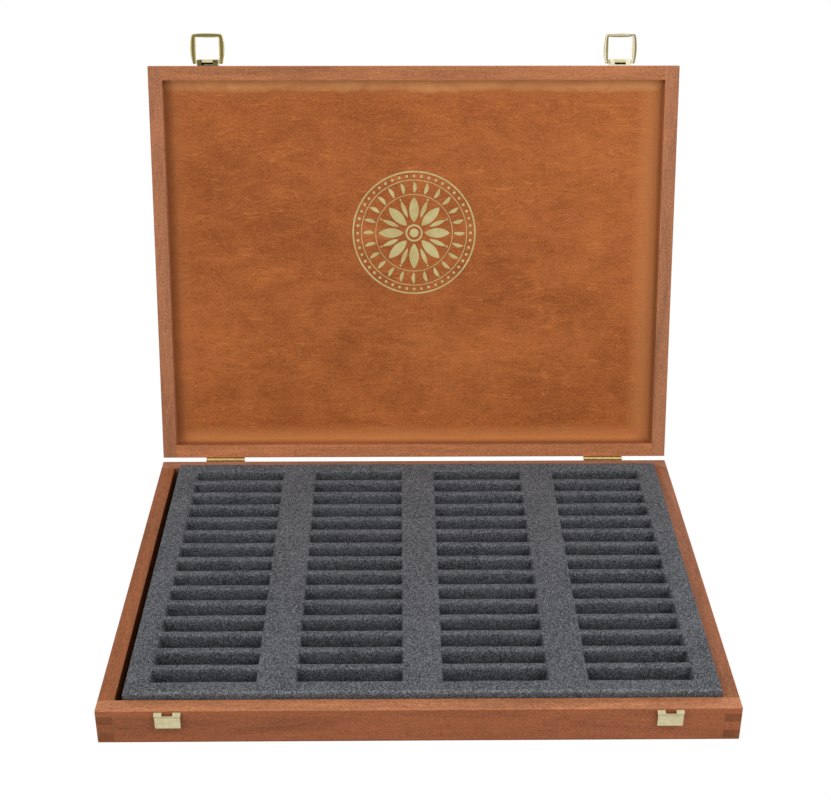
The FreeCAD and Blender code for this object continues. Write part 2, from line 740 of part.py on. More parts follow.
def bail(name, middle):
    """The bail, its own frame on its pivot: two bulged arms and a lens-shaped bar, standing towards -Y."""
    body = new_body(name)
    reach = "(bail_pin_rise + rim_gap + strike_drop + strike_height + hook_gap)"
    inner_bulge = f"(bail_bar_radius - sqrt(bail_bar_radius ^ 2 - {BAIL_INSIDE} ^ 2))"
    bar_inner = f"({reach} + {inner_bulge})"
    bar_outer = f"({bar_inner} + bail_bar_width)"
    end_middle = f"({BAIL_INSIDE} + bail_arm_end_width / 2)"
    end_outer = f"({BAIL_INSIDE} + bail_arm_end_width)"
    tip = f"({BAIL_INSIDE} + bail_arm_tip_width)"
    half = [
        (BAIL_INSIDE, "0"),
        (end_middle, "bail_arm_end_width / 2"),
        (end_outer, "0"),
        (tip, f"-({bar_outer} - bail_corner_radius)"),
        (f"({tip} - bail_corner_radius)", f"-{bar_outer}"),
    ]
    other_half = [(f"-{x}", y) for x, y in reversed(half)]
    inner_corners = [(f"-{BAIL_INSIDE}", f"-{bar_inner}"), (BAIL_INSIDE, f"-{bar_inner}")]
    end, arm, corner = "bail_arm_end_width / 2", "bail_arm_radius", "bail_corner_radius"
    bar = "bail_bar_radius"
    bulges = [end, end, arm, corner, bar, corner, arm, end, end]
    arcs = {side: (radius, -1) for side, radius in enumerate(bulges)}
    arcs[len(half + other_half)] = (bar, -1)
    loop = half + other_half + inner_corners
    pad(body, outline(body, name + "_ring", "XY_Plane", loop, arcs), "bail_thickness", middle=True)
    pivot_length = f"{end_middle} - ({PLATE_HALF} - bail_pin_end)"
    for side, start in (("left", f"-{end_middle}"), ("right", f"{PLATE_HALF} - bail_pin_end")):
        stub = ring(body, f"{name}_{side}_pivot", "YZ_Plane", ("0", "0"), "bail_pin_radius", offset=start)
        pad(body, stub, pivot_length)
    place(body, middle, f"{FRONT} - bail_pin_stand", f"{LID_RIM} + bail_pin_rise", on_lid=True)
    return body


strikes = []
for side, sign in SIDES:
    middle = f"{sign}latch_spacing / 2"
    strikes.append(strike(f"strike_{side}", middle))
    plate = latch_plate(f"{side}_latch_plate", middle)
    built(f"latch_{side}_plate", plate, [latch_nails], on_lid=True)
    node(f"latch_{side}_lever", lever(f"{side}_lever", middle))
    node(f"latch_{side}_bail", bail(f"{side}_bail", middle))
    start = (f"{middle} - {PLATE_HALF}", f"{FRONT} - lever_pin_stand", f"{LID_RIM} + lever_pin_rise")
    pin = rod(f"{side}_lever_pin", "lever_pin_radius", "latch_plate_width", start, on_lid=True)
    node(f"latch_{side}_pin", pin)


# The wood last: what is driven into it is cut out of it.

built("base_front_rail", base_rails["front"], strikes)
built("base_back_rail", base_rails["back"], [base_screws])
built("lid_front_rail", lid_rails["front"], [latch_nails], on_lid=True)
built("lid_back_rail", lid_rails["back"], [lid_screws], on_lid=True)
for side, _ in SIDES:
    built(f"base_{side}_rail", base_rails[side])
    built(f"lid_{side}_rail", lid_rails[side], on_lid=True)
built("base_bottom_panel", base_panel, [base_screws, *strikes])
built("lid_panel", lid_panel, [lid_screws, latch_nails], on_lid=True)

doc.recompute()

for item in doc.Objects:
    if {"Invalid", "Error"} & set(item.State):
        raise RuntimeError(f"{item.Name} ({item.Label}) failed: {item.State}")

os.makedirs("parts", exist_ok=True)
for name, piece in sorted(NODES.items()):
    shape = piece.Shape
    if shape.isNull() or not shape.isValid():
        raise RuntimeError(f"{name} has no valid shape")
    shape.exportStep(f"parts/{name}.step")
    box = shape.BoundBox
    print(f"{name}: {len(shape.Solids)} solid(s), {shape.Volume:.1f} mm3")
    for axis in "XYZ":
        print(f"    {axis} {getattr(box, axis + 'Min'):.1f} to {getattr(box, axis + 'Max'):.1f}")
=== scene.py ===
# %% [markdown]
# # A case for pastel sticks
# A shallow wooden tray holds a block of dark foam with sixty slots, and its lid stands open behind it on two
# brass stop hinges. Two brass toggle latches sit on the lid's front edge, and their strikes on the tray.
# Everything with an exact size comes in as the frame: rails, panels, hinges, plates, pins and screws.
# This lesson gives those pieces their finishes and makes the pieces whose look needs a finer surface:
# the foam, the pressed bails, the bent levers and strikes, and a printed ornament inside the lid.

import math

import bmesh
import bpy
import numpy as np
from mathutils import Matrix, Vector


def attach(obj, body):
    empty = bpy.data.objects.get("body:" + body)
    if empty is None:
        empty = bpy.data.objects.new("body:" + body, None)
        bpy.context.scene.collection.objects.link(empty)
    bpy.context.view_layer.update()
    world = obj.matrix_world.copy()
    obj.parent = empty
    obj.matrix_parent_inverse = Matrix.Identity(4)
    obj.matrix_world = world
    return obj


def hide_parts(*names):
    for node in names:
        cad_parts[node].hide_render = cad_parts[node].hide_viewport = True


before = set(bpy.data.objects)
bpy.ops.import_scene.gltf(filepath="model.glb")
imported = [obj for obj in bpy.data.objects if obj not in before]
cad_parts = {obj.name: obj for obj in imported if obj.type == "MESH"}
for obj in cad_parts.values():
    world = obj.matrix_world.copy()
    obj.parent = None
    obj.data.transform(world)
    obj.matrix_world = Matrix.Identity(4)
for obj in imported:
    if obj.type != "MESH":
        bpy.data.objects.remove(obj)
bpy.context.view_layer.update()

# %% [markdown]
# ## Sizes used more than once
# The pieces of the lid are easiest to think about on the closed case, where every edge is level. The lid
# then swings about the hinge pins, so one function turns points of the closed case into points of the open
# one. The same turn, undone, is used later in the materials, so that the grain stays straight on the lid.

# %% Sizes of the case, in metres
CASE = np.array([0.420, 0.320])
TRAY_HEIGHT, LID_HEIGHT, RAIL, PLY = 0.026, 0.013, 0.011, 0.004
LID_RIM = TRAY_HEIGHT + 0.0003
HINGE_Y, HINGE_Z = CASE[1] / 2 + 0.002, TRAY_HEIGHT + 0.00015
LID_ANGLE = math.radians(104.4)
LATCH_X = 0.163
MM = 0.001
SIDES = {"left": -LATCH_X, "right": LATCH_X}


def swung_open(points):
    """Points of the closed case after the lid's swing: each is turned about the hinge pins' line."""
    points = np.asarray(points, float)
    out, up = points[..., 1] - HINGE_Y, points[..., 2] - HINGE_Z
    turned = points.copy()
    turned[..., 1] = HINGE_Y + out * math.cos(LID_ANGLE) + up * math.sin(LID_ANGLE)
    turned[..., 2] = HINGE_Z - out * math.sin(LID_ANGLE) + up * math.cos(LID_ANGLE)
    return turned


print("the lid's front edge stands at", swung_open([0, -CASE[1] / 2, LID_RIM]).round(4))

# %% [markdown]
# ## Camera
# A camera can be aimed with a constraint, by angles, or with a matrix of its own axes. Here the heading,
# the pitch and a small roll are known as angles, so three unit vectors are worked out from them and set as
# the columns of the matrix: right, up, and backwards, because a camera looks along its own -Z.

# %% Make the camera
CAMERA_PLACE = Vector((-0.01194, -0.9137, 0.65095))
LENS, SENSOR = 64.2, 36
YAW, TILT, ROLL = (math.radians(angle) for angle in (0.679, 27.854, 0.134))


def in_scene(name, data):
    """A new object that shows the data, linked to the scene."""
    made = bpy.data.objects.new(name, data)
    bpy.context.scene.collection.objects.link(made)
    return made


ahead = Vector((math.sin(YAW) * math.cos(TILT), math.cos(YAW) * math.cos(TILT), -math.sin(TILT)))
level = Vector((math.cos(YAW), -math.sin(YAW), 0))
above = level.cross(ahead)
right = level * math.cos(ROLL) + above * math.sin(ROLL)
upward = right.cross(ahead)
camera = in_scene("camera", bpy.data.cameras.new("camera"))
axes = Matrix((right, upward, -ahead)).transposed()
camera.matrix_world = Matrix.Translation(CAMERA_PLACE) @ axes.to_4x4()
camera.data.lens, camera.data.sensor_width = LENS, SENSOR
bpy.context.scene.camera = camera
bpy.context.scene.view_settings.view_transform = "Standard"
print("the camera looks along", tuple(round(value, 3) for value in ahead))

# %% [markdown]
# ## Helpers for shader nodes
# A material is a graph, and it can be clicked together or written down. Written down, most lines make a
# node, set a few of its values and connect it, so these helpers do just that: a value that is a socket is
# connected, and anything else is set on the node. A sum of shares or a clamped range then takes one line.

# %% Node helpers


def fill(tree, node, **values):
    """A node's inputs, by name with _ for a space or by number as i0: sockets are connected, values set."""
    for name, value in values.items():
        numbered = name[0] == "i" and name[1:].isdigit()
        socket = node.inputs[int(name[1:]) if numbered else name.replace("_", " ")]
        if isinstance(value, bpy.types.NodeSocket):
            tree.links.new(value, socket)
        else:
            socket.default_value = value


def add(tree, kind, settings=None, **values):
    """A new node: settings are its own properties, and values fill its inputs."""
    made = tree.nodes.new("ShaderNode" + kind)
    for name, value in (settings or {}).items():
        setattr(made, name, value)
    fill(tree, made, **values)
    return made


def maths(tree, operation, first, second=0.0, clamp=False):
    """One step of arithmetic on two values."""
    return add(tree, "Math", {"operation": operation, "use_clamp": clamp}, i0=first, i1=second).outputs[0]


def times(tree, first, second):
    """The product of two values."""
    return maths(tree, "MULTIPLY", first, second)


def shares(tree, *pairs):
    """A sum of values, each times its share."""
    first, *others = [times(tree, value, share) for value, share in pairs]
    for other in others:
        first = maths(tree, "ADD", first, other)
    return first


def vectors(tree, operation, first, second=(0, 0, 0)):
    """One step of arithmetic on two vectors; the node gives a vector and a number."""
    return add(tree, "VectorMath", {"operation": operation}, i0=first, i1=second).outputs


def axes_of(tree, place):
    """The three numbers of a vector."""
    return add(tree, "SeparateXYZ", Vector=place).outputs


def spread(tree, value, low, high, start=0.0, stop=1.0):
    """A value from low to high carried over to start to stop, and held there outside."""
    return add(tree, "MapRange", Value=value, From_Min=low, From_Max=high, To_Min=start,
               To_Max=stop).outputs[0]


def mixed(tree, factor, first, second, mode="MIX"):
    """Two colours mixed by a factor."""
    settings = {"data_type": "RGBA", "blend_type": mode}
    return add(tree, "Mix", settings, i0=factor, i6=first, i7=second).outputs[2]


def bumped(tree, height, strength, distance):
    """The surface's direction, tilted as a relief of this height would tilt it."""
    return add(tree, "Bump", Strength=strength, Distance=distance, Height=height).outputs[0]


def noise(tree, place, scale, detail, roughness=0.5, distortion=0.0):
    """A cloud of values about 0.5, its vector stretched by the three scales."""
    stretched = add(tree, "Mapping", {"vector_type": "POINT"}, Vector=place, Scale=scale)
    cloud = add(tree, "TexNoise", Vector=stretched.outputs[0], Scale=1.0, Detail=detail,
                Roughness=roughness, Distortion=distortion)
    return cloud.outputs["Fac"]


def new_group(name, inputs, outputs):
    """An empty node group with named sockets: the group, what its inputs give, and its output node."""
    group = bpy.data.node_groups.new(name, "ShaderNodeTree")
    for direction, sockets in (("INPUT", inputs), ("OUTPUT", outputs)):
        for socket_name, kind in sockets.items():
            group.interface.new_socket(socket_name, in_out=direction, socket_type="NodeSocket" + kind)
    return group, group.nodes.new("NodeGroupInput").outputs, group.nodes.new("NodeGroupOutput")


def use_group(tree, group, **values):
    """A group placed in a material."""
    return add(tree, "Group", {"node_tree": group}, **values)


def empty_graph(owner):
    """The node tree of a material or a world, with nothing in it."""
    owner.use_nodes = True
    owner.node_tree.nodes.clear()
    return owner.node_tree


def new_material(name):
    """A material with an empty graph: its tree, its Principled shader and its texture coordinates."""
    material = bpy.data.materials.new(name)
    tree = empty_graph(material)
    shader = tree.nodes.new("ShaderNodeBsdfPrincipled")
    add(tree, "OutputMaterial", Surface=shader.outputs[0])
    return material, tree, shader, tree.nodes.new("ShaderNodeTexCoord")


def colour(red, green, blue):
    """A colour given as it looks on a screen, from 0 to 255, as the linear numbers that shaders use."""
    value = np.array([red, green, blue]) / 255
    linear = np.where(value <= 0.04045, value / 12.92, ((value + 0.055) / 1.055) ** 2.4)
    return (*linear, 1.0)


print("a mid brown in linear numbers:", [round(value, 3) for value in colour(160, 100, 66)])

# %% [markdown]
# ## Floor and sky
# The case stands in a plain white studio. A floor that catches only light would come out grey, so the part
# of it that the camera and shiny metal see is mostly an even white glow, and a share of it stays a real
# white surface, which keeps the soft shadow under the case. For all other rays it is a middling grey, so
# that less light comes up from below. The sky is even and weak, and it is white to the camera.

# %% Floor and sky
FLOOR_HALF, FLOOR_GLOW, GLOW_STRENGTH, SKY = 6.0, 0.95, 1.02, 0.5


def seen_directly(tree):
    """1 for rays from the camera, from mirror-like surfaces and through glass, and 0 for the rest."""
    path = tree.nodes.new("ShaderNodeLightPath")
    seen = maths(tree, "MAXIMUM", path.outputs["Is Camera Ray"], path.outputs["Is Glossy Ray"])
    return maths(tree, "MAXIMUM", seen, path.outputs["Is Transmission Ray"])


def make_floor():
    """A square floor whose seen colour is mostly glow."""
    mesh = bpy.data.meshes.new("floor")
    corners = [(x * FLOOR_HALF, y * FLOOR_HALF, 0) for x, y in ((-1, -1), (1, -1), (1, 1), (-1, 1))]
    mesh.from_pydata(corners, [], [(0, 1, 2, 3)])
    material = bpy.data.materials.new("studio_floor")
    tree = empty_graph(material)
    seen = seen_directly(tree)
    grey_or_white = mixed(tree, seen, (0.4, 0.4, 0.4, 1), (0.95, 0.95, 0.95, 1))
    matte = add(tree, "BsdfDiffuse", Color=grey_or_white)
    glow = add(tree, "Emission", Color=(1, 1, 1, 1), Strength=GLOW_STRENGTH)
    share = times(tree, seen, FLOOR_GLOW)
    blend = add(tree, "MixShader", i0=share, i1=matte.outputs[0], i2=glow.outputs[0])
    add(tree, "OutputMaterial", Surface=blend.outputs[0])
    mesh.materials.append(material)
    floor = in_scene("floor", mesh)


make_floor()
world = bpy.data.worlds.new("studio")
bpy.context.scene.world = world
tree = empty_graph(world)
sky = add(tree, "Background", Color=(1, 1, 1, 1),
          Strength=spread(tree, seen_directly(tree), 0.0, 1.0, SKY, 1.0))
add(tree, "OutputWorld", Surface=sky.outputs[0])
print("floor glow", FLOOR_GLOW, "and sky", SKY)

# %% [markdown]
# ## Lamps
# Varnish and brass show the shape of whatever lights them, so a lamp's size matters as much as its power. A
# sun or a point lamp would give small, hard highlights, so Area lamps are used, which glow as the soft boxes
# of a studio do. Two stand left and right of the front, and a weak one behind. Each is turned by the rotation
# that carries its own -Z, the way it shines, to the case.

# %% Lamps
LAMPS_AIM = Vector((0, 0.05, 0.1))
LAMPS = {
    "left": ((-1.33, -0.80, 1.36), 1.1, 14.0),
    "right": ((1.33, -0.80, 1.36), 1.1, 17.0),
    "back": ((0.4, 2.2, 1.5), 1.3, 8.0),
}
for lamp_name, (place, side, power) in LAMPS.items():
    light = bpy.data.lights.new(lamp_name, "AREA")
    light.size, light.energy = side, power
    lamp = in_scene(lamp_name, light)
    lamp.location = place
    lamp.rotation_mode = "QUATERNION"
    lamp.rotation_quaternion = (LAMPS_AIM - Vector(place)).to_track_quat("-Z", "Y")
print("lamps:", ", ".join(LAMPS))

# %% [markdown]
# ## Wood: where a point lies on its board
# The rails and panels keep their exact frame shapes, so all of their look is in the finish. Object
# coordinates give a point's place in metres. On the lid they are turned back to the closed case, and on the
# side rails they are turned a quarter, so that the grain always runs along the texture's X. A picture of
# wood wrapped round the rails would need unwrapping at each corner; a pattern in space needs none, and its
# end grain lines up by itself.

# %% Board coordinates
BACK_TURN = (0, HINGE_Y - (HINGE_Y * math.cos(LID_ANGLE) - HINGE_Z * math.sin(LID_ANGLE)),
             HINGE_Z - (HINGE_Y * math.sin(LID_ANGLE) + HINGE_Z * math.cos(LID_ANGLE)))


def closed_place(tree, coordinates, on_lid):
    """A point's place on the closed case."""
    if not on_lid:
        return coordinates.outputs["Object"]
    return add(tree, "Mapping", Vector=coordinates.outputs["Object"], Location=BACK_TURN,
               Rotation=(LID_ANGLE, 0, 0)).outputs[0]


def along_grain(tree, place, grain_along_y, shift):
    """The place with the grain along X, moved so that no two boards share their pattern."""
    turn = -math.pi / 2 if grain_along_y else 0.0
    return add(tree, "Mapping", Vector=place, Location=shift, Rotation=(0, 0, turn)).outputs[0]


def facing(tree, coordinates, way, on_lid):
    """How far a surface faces a way of the closed case: the cosine of the angle between the two."""
    way = np.array(way)
    if on_lid:
        way = swung_open(way) - swung_open(np.zeros(3))
    return vectors(tree, "DOT_PRODUCT", coordinates.outputs["Normal"], tuple(way))["Value"]


def end_grain(tree, coordinates, grain_along_y, on_lid):
    """1 where the surface cuts across the fibres: the surface's direction compared with the grain's."""
    grain = (0.0, 1.0, 0.0) if grain_along_y else (1.0, 0.0, 0.0)
    return spread(tree, maths(tree, "ABSOLUTE", facing(tree, coordinates, grain, on_lid)), 0.75, 0.9)


print("the open lid's points go back by", [round(value, 4) for value in BACK_TURN])

# %% [markdown]
# ## Wood: pores and figure
# Stained and varnished wood shows several things at once: broad bands of lighter and darker wood, threads
# and short flecks, fine pores that hold more stain, and tiny specks. Each is a stretched noise. They are
# wanted on every board with other values, so they live in a node group that gives out a colour, a roughness
# and a height, and the shader stays in the material.

# %% The wood group
TUBE_COLOUR = (0.12, 0.038, 0.018, 1)
wood, wood_in, wood_out = new_group(
    "stained_wood",
    {"Place": "Vector", "End Grain": "Float", "Edge": "Float", "Pale": "Color", "Dark": "Color",
     "Edge Colour": "Color", "Speck": "Float"},
    {"Colour": "Color", "Roughness": "Float", "Height": "Float"},
)
place = wood_in["Place"]
bands = noise(wood, place, (7, 70, 70), 4.0, 0.6, 0.8)
threads = noise(wood, place, (90, 900, 900), 3.0, 0.7)
flecks = noise(wood, place, (450, 1900, 1900), 2.0, 0.6, 0.3)
specks = noise(wood, place, (950, 1900, 1900), 1.0, 0.5)
pores = noise(wood, place, (260, 2600, 2600), 2.0, 0.6)
tone = spread(wood, shares(wood, (bands, 0.30), (threads, 0.25), (flecks, 0.45)), 0.37, 0.63)
pore_mask = spread(wood, pores, 0.60, 0.74)
speck_shift = times(wood, maths(wood, "SUBTRACT", specks, 0.5), wood_in["Speck"])
tone = maths(wood, "ADD", tone, speck_shift)
tone = maths(wood, "SUBTRACT", tone, times(wood, pore_mask, 0.4), clamp=True)
face = mixed(wood, tone, wood_in["Dark"], wood_in["Pale"])
tubes = spread(wood, noise(wood, place, (40, 900, 900), 2.0, 0.6), 0.35, 0.65, 0.25, 0.6)
cross = mixed(wood, tubes, TUBE_COLOUR, wood_in["Dark"])
surface = mixed(wood, wood_in["End Grain"], face, cross)
surface = mixed(wood, wood_in["Edge"], surface, wood_in["Edge Colour"])
fill(wood, wood_out, Colour=surface, Roughness=spread(wood, tone, 0.0, 1.0, 0.52, 0.40),
     Height=maths(wood, "SUBTRACT", times(wood, threads, 0.6), pore_mask))
print("the wood group has", len(wood.nodes), "nodes")

# %% [markdown]
# ## Wood: sanded edges
# Where two outer faces of the case meet, sanding has rounded the wood and thinned the stain. The case is a
# plain box, so no geometry has to be searched for its edges: on a face, one of the three distances to the
# outer planes is zero, and near an edge the middle one of the three is small too.

# %% The edge group
edge, edge_in, edge_out = new_group(
    "sanded_edge",
    {"Place": "Vector", "Middle": "Vector", "Half": "Vector", "Reach": "Float"},
    {"Mask": "Float"},
)
from_middle = vectors(edge, "SUBTRACT", edge_in["Place"], edge_in["Middle"])[0]
inward = vectors(edge, "SUBTRACT", edge_in["Half"], vectors(edge, "ABSOLUTE", from_middle)[0])[0]
parts = axes_of(edge, inward)
lower = maths(edge, "MINIMUM", parts[0], parts[1])
upper = maths(edge, "MAXIMUM", parts[0], parts[1])
middle_one = maths(edge, "MAXIMUM", lower, maths(edge, "MINIMUM", upper, parts[2]))
wobble = spread(edge, noise(edge, edge_in["Place"], (130, 130, 130), 2.0), 0.3, 0.7, 0.5, 1.4)
reach = times(edge, edge_in["Reach"], wobble)
nearness = maths(edge, "SUBTRACT", 1.0, maths(edge, "DIVIDE", middle_one, reach), clamp=True)
fill(edge, edge_out, Mask=nearness)
print("the edge group has", len(edge.nodes), "nodes")

# %% [markdown]
# ## Finishes of the rails
# One material for all eight rails would be enough for a model of plastic, but boards differ. So one function
# makes a material for each rail, with a colour of its own, a share of end grain, and a shift that moves the
# pattern along. A tint makes a few faces darker or lighter than their board: painted shade and painted light,
# for faces that the lamps here light too much or too little. It is multiplied with the board's colour, so 255
# would change nothing.

# %% The finish of a rail
TRAY_BOX = ((0, 0, TRAY_HEIGHT / 2), (*CASE / 2, TRAY_HEIGHT / 2))
LID_BOX = ((0, 0, LID_RIM + LID_HEIGHT / 2), (*CASE / 2, LID_HEIGHT / 2))
SPECK, CONTRAST, WORN_REACH, WORN_PALENESS, FOOT_SHADE_COLOUR = 1.2, 0.22, 0.0012, 1.18, (96, 46, 30)
# Painted shade on the tray's front face and on the inner faces of the lid's back and right rails; painted
# light, above 255, on the inner face of the lid's front rail.
FACE_LIGHT_AND_SHADE = {
    "base_front_rail_finish": ((0.0, -1.0, 0.0), (236, 216, 206)),
    "lid_front_rail_finish": ((0.0, 1.0, 0.0), (318, 306, 286)),
    "lid_back_rail_finish": ((0.0, -1.0, 0.0), (206, 196, 184)),
    "lid_right_rail_finish": ((-1.0, 0.0, 0.0), (246, 236, 216)),
}


def wood_finish(name, on_lid, grain_along_y, mean, cross_share, shift):
    """A board's material: the wood group on its own coordinates, under a satin varnish."""
    material, tree, shader, coordinates = new_material(name)
    place = closed_place(tree, coordinates, on_lid)
    middle, half = LID_BOX if on_lid else TRAY_BOX
    worn = use_group(tree, edge, Place=place, Middle=middle, Half=half, Reach=WORN_REACH).outputs["Mask"]
    above_floor = axes_of(tree, place)[2]
    # Edge paleness is weakened to 0.3 of its mask, and none is left within 2.5 mm of the floor, where painted
    # shade lies.
    worn = times(tree, worn, spread(tree, above_floor, 0.0025, 0.003, 0.0, 0.3))
    across = times(tree, end_grain(tree, coordinates, grain_along_y, on_lid), cross_share)
    mean = np.array(mean)
    looks = use_group(tree, wood, Place=along_grain(tree, place, grain_along_y, shift), End_Grain=across,
                      Edge=worn, Pale=colour(*mean * (1 + CONTRAST)), Dark=colour(*mean * (1 - CONTRAST)),
                      Edge_Colour=colour(*mean * WORN_PALENESS), Speck=SPECK).outputs
    # Darker towards the floor: painted shade, the contact shadow where the tray stands.
    foot = spread(tree, above_floor, 0.0003, 0.0018, 0.45, 0.0)
    surface = mixed(tree, foot, looks["Colour"], colour(*FOOT_SHADE_COLOUR))
    # The face's painted light and shade, multiplied into its colour.
    if name in FACE_LIGHT_AND_SHADE:
        way, tint = FACE_LIGHT_AND_SHADE[name]
        painted_face_share = spread(tree, facing(tree, coordinates, way, on_lid), 0.5, 0.9)
        surface = mixed(tree, painted_face_share, surface, colour(*tint), "MULTIPLY")
    fill(tree, shader, Base_Color=surface, Roughness=looks["Roughness"], Specular_IOR_Level=0.22,
         Normal=bumped(tree, looks["Height"], 0.5, 0.00008))
    return material


print("faces with a tint:", len(FACE_LIGHT_AND_SHADE))

# %% The eight rails
# Each board has a tone of its own, but the lid's rails are set paler than the tray's side and back rails:
# painted light, since the lamps here light the lid less.
RAIL_TONES_AND_LIGHT = {
    "base_front_rail": ((177, 115, 78), 0.2),
    "base_back_rail": ((152, 104, 78), 0.3),
    "base_left_rail": ((142, 83, 46), 0.1),
    "base_right_rail": ((143, 84, 48), 0.18),
    "lid_front_rail": ((174, 111, 72), 0.3),
    "lid_back_rail": ((188, 120, 79), 0.3),
    "lid_left_rail": ((169, 110, 77), 0.2),
    "lid_right_rail": ((173, 114, 80), 0.6),
}
for number, (node_name, (mean, cross_share)) in enumerate(RAIL_TONES_AND_LIGHT.items()):
    grain_along_y = "left" in node_name or "right" in node_name
    shift = (0.37 * number, 0.21 * number, 0.13 * number)
    finish = wood_finish(node_name + "_finish", node_name.startswith("lid"), grain_along_y, mean,
                         cross_share, shift)
    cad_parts[node_name].data.materials[0] = finish
print("finished rails:", len(RAIL_TONES_AND_LIGHT))

# %% [markdown]
# ## Plywood
# The panels are stained birch plywood: fine wavy grain, short dashes, soft darker clouds, and curled bright
# veins where the fibres dip. A Wave texture would give stripes that are too even, so stretched noises are
# used, on a place that is first pushed a little along Y. Both panels need them, so they are a group. It also
# gives out the masks that the materials use: the veins, and how far an edge of the stain wanders.

# %% The plywood group
VEINS = (((8, 75, 8), 0.008, 3.0), ((15, 120, 15), 0.011, 7.0), ((26, 170, 26), 0.014, 11.0))
ply, ply_in, ply_out = new_group(
    "stained_plywood",
    {"Place": "Vector", "Pale": "Color", "Dark": "Color"},
    {"Colour": "Color", "Roughness": "Float", "Height": "Float", "Wander": "Float", "Veins": "Float"},
)
place = ply_in["Place"]
bend = maths(ply, "SUBTRACT", noise(ply, place, (16, 16, 16), 2.0), 0.5)
push = add(ply, "CombineXYZ", X=0.0, Y=times(ply, bend, 0.022), Z=0.0)
wavy = vectors(ply, "ADD", place, push.outputs[0])[0]
dashes = noise(ply, wavy, (620, 2000, 620), 2.0, 0.6, 0.3)
strokes = spread(ply, noise(ply, wavy, (190, 1200, 190), 1.0), 0.60, 0.68)
grain = noise(ply, wavy, (80, 420, 80), 4.0, 0.7, 0.6)
blotch = noise(ply, place, (34, 52, 34), 4.0, 0.62, 0.8)
clouds = noise(ply, place, (9, 12, 9), 2.0, 0.5, 0.5)
tone = shares(ply, (dashes, 0.95), (grain, 0.22), (blotch, 0.42), (clouds, 0.33))
tone = maths(ply, "SUBTRACT", spread(ply, tone, 0.785, 1.145), times(ply, strokes, 0.3))
# The tone rises towards +X: painted light, so the panels are lighter on their right, as if lit more from that
# side.
tone = maths(ply, "ADD", tone, times(ply, axes_of(ply, place)[0], 0.1), clamp=True)
veins = 0.0
for stretch, width, seed in VEINS:
    moved = vectors(ply, "ADD", wavy, (seed, seed, 0))[0]
    curl = noise(ply, moved, stretch, 2.0, 0.5, 0.9)
    line = spread(ply, maths(ply, "ABSOLUTE", maths(ply, "SUBTRACT", curl, 0.5)), 0.0, width, 1.0, 0.0)
    sparse = spread(ply, noise(ply, moved, (40, 70, 40), 2.0), 0.5, 0.58)
    veins = maths(ply, "MAXIMUM", veins, times(ply, line, sparse))
fill(ply, ply_out, Colour=mixed(ply, tone, ply_in["Dark"], ply_in["Pale"]), Height=grain, Veins=veins,
     Roughness=spread(ply, dashes, 0.3, 0.7, 0.42, 0.52),
     Wander=times(ply, maths(ply, "SUBTRACT", blotch, 0.5), 0.014))
print("the plywood group has", len(ply.nodes), "nodes")

# %% [markdown]
# ## Stain, painted light and painted shade along the frame
# On the lid the stain lies thinner along the frame, where the spray gun did not reach; that pale band is set
# stronger at the back and right than at the front and left, which is painted light. The corner itself is
# dark:
# painted shade from the rails. Along the front rail a strip is painted pale orange: painted light where that
# rail shades the panel. That could be painted by hand, but it depends only on the distance to the frame's
# inner edge, so it is worked out from the place. For each side of the frame the table has its axis and sign,
# then the reach and the strength of the pale band, and those of the painted shade in the corner.

# %% The panels' finish
PANEL_FACE = LID_RIM + LID_HEIGHT - PLY
VEIN_COLOUR, PAINTED_LIGHT_COLOUR, CORNER_SHADE_COLOUR = (220, 134, 68), (253, 184, 118), (92, 50, 22)
PANEL_EDGES = {
    "front": (1, -1.0, 0.018, 0.2, 0.001, 0.0),
    "back": (1, 1.0, 0.015, 0.6, 0.003, 0.4),
    "left": (0, -1.0, 0.018, 0.25, 0.008, 0.5),
    "right": (0, 1.0, 0.022, 0.66, 0.0035, 0.55),
}


def frame_masks(tree, parts, wander):
    """The pale band by the frame, the painted shade in its corner, and the distance from its front."""
    band, corner, distances = 0.0, 0.0, {}
    for side, (axis, sign, band_reach, band_share, shade_reach, shade_share) in PANEL_EDGES.items():
        distances[side] = maths(tree, "SUBTRACT", CASE[axis] / 2 - RAIL, times(tree, parts[axis], sign))
        moved = maths(tree, "ADD", distances[side], wander)
        band = maths(tree, "MAXIMUM", band, spread(tree, moved, 0.003, band_reach, band_share, 0.0))
        near = spread(tree, distances[side], 0.0, shade_reach, shade_share, 0.0)
        corner = maths(tree, "MAXIMUM", corner, near)
    return band, corner, distances["front"]


def panel_finish(name, on_lid, pale, dark, band_pale):
    """A panel's material: the plywood group, its veins, and on the lid's inner face the frame's masks."""
    material, tree, shader, coordinates = new_material(name)
    place = closed_place(tree, coordinates, on_lid)
    looks = use_group(tree, ply, Place=place, Pale=colour(*pale), Dark=colour(*dark)).outputs
    parts = axes_of(tree, place)
    band, corner, from_front = frame_masks(tree, parts, looks["Wander"])
    inside = spread(tree, parts[2], PANEL_FACE + 0.001, PANEL_FACE + 0.002, 1.0, 0.0) if on_lid else 0.0
    surface = mixed(tree, times(tree, band, inside), looks["Colour"], colour(*band_pale))
    surface = mixed(tree, times(tree, looks["Veins"], 0.5), surface, colour(*VEIN_COLOUR))
    uneven = maths(tree, "ADD", from_front, times(tree, looks["Wander"], 0.8))
    # Painted light: a pale strip along the front rail, where that rail shades the panel.
    painted_light_strip = times(tree, spread(tree, uneven, 0.0005, 0.0099, 1.0, 0.0), inside)
    surface = mixed(tree, painted_light_strip, surface, colour(*PAINTED_LIGHT_COLOUR))
    # Painted shade in the frame's corner.
    surface = mixed(tree, times(tree, corner, inside), surface, colour(*CORNER_SHADE_COLOUR))
    fill(tree, shader, Base_Color=surface, Roughness=looks["Roughness"], Specular_IOR_Level=0.2,
         Normal=bumped(tree, looks["Height"], 0.4, 0.00006))
    return material


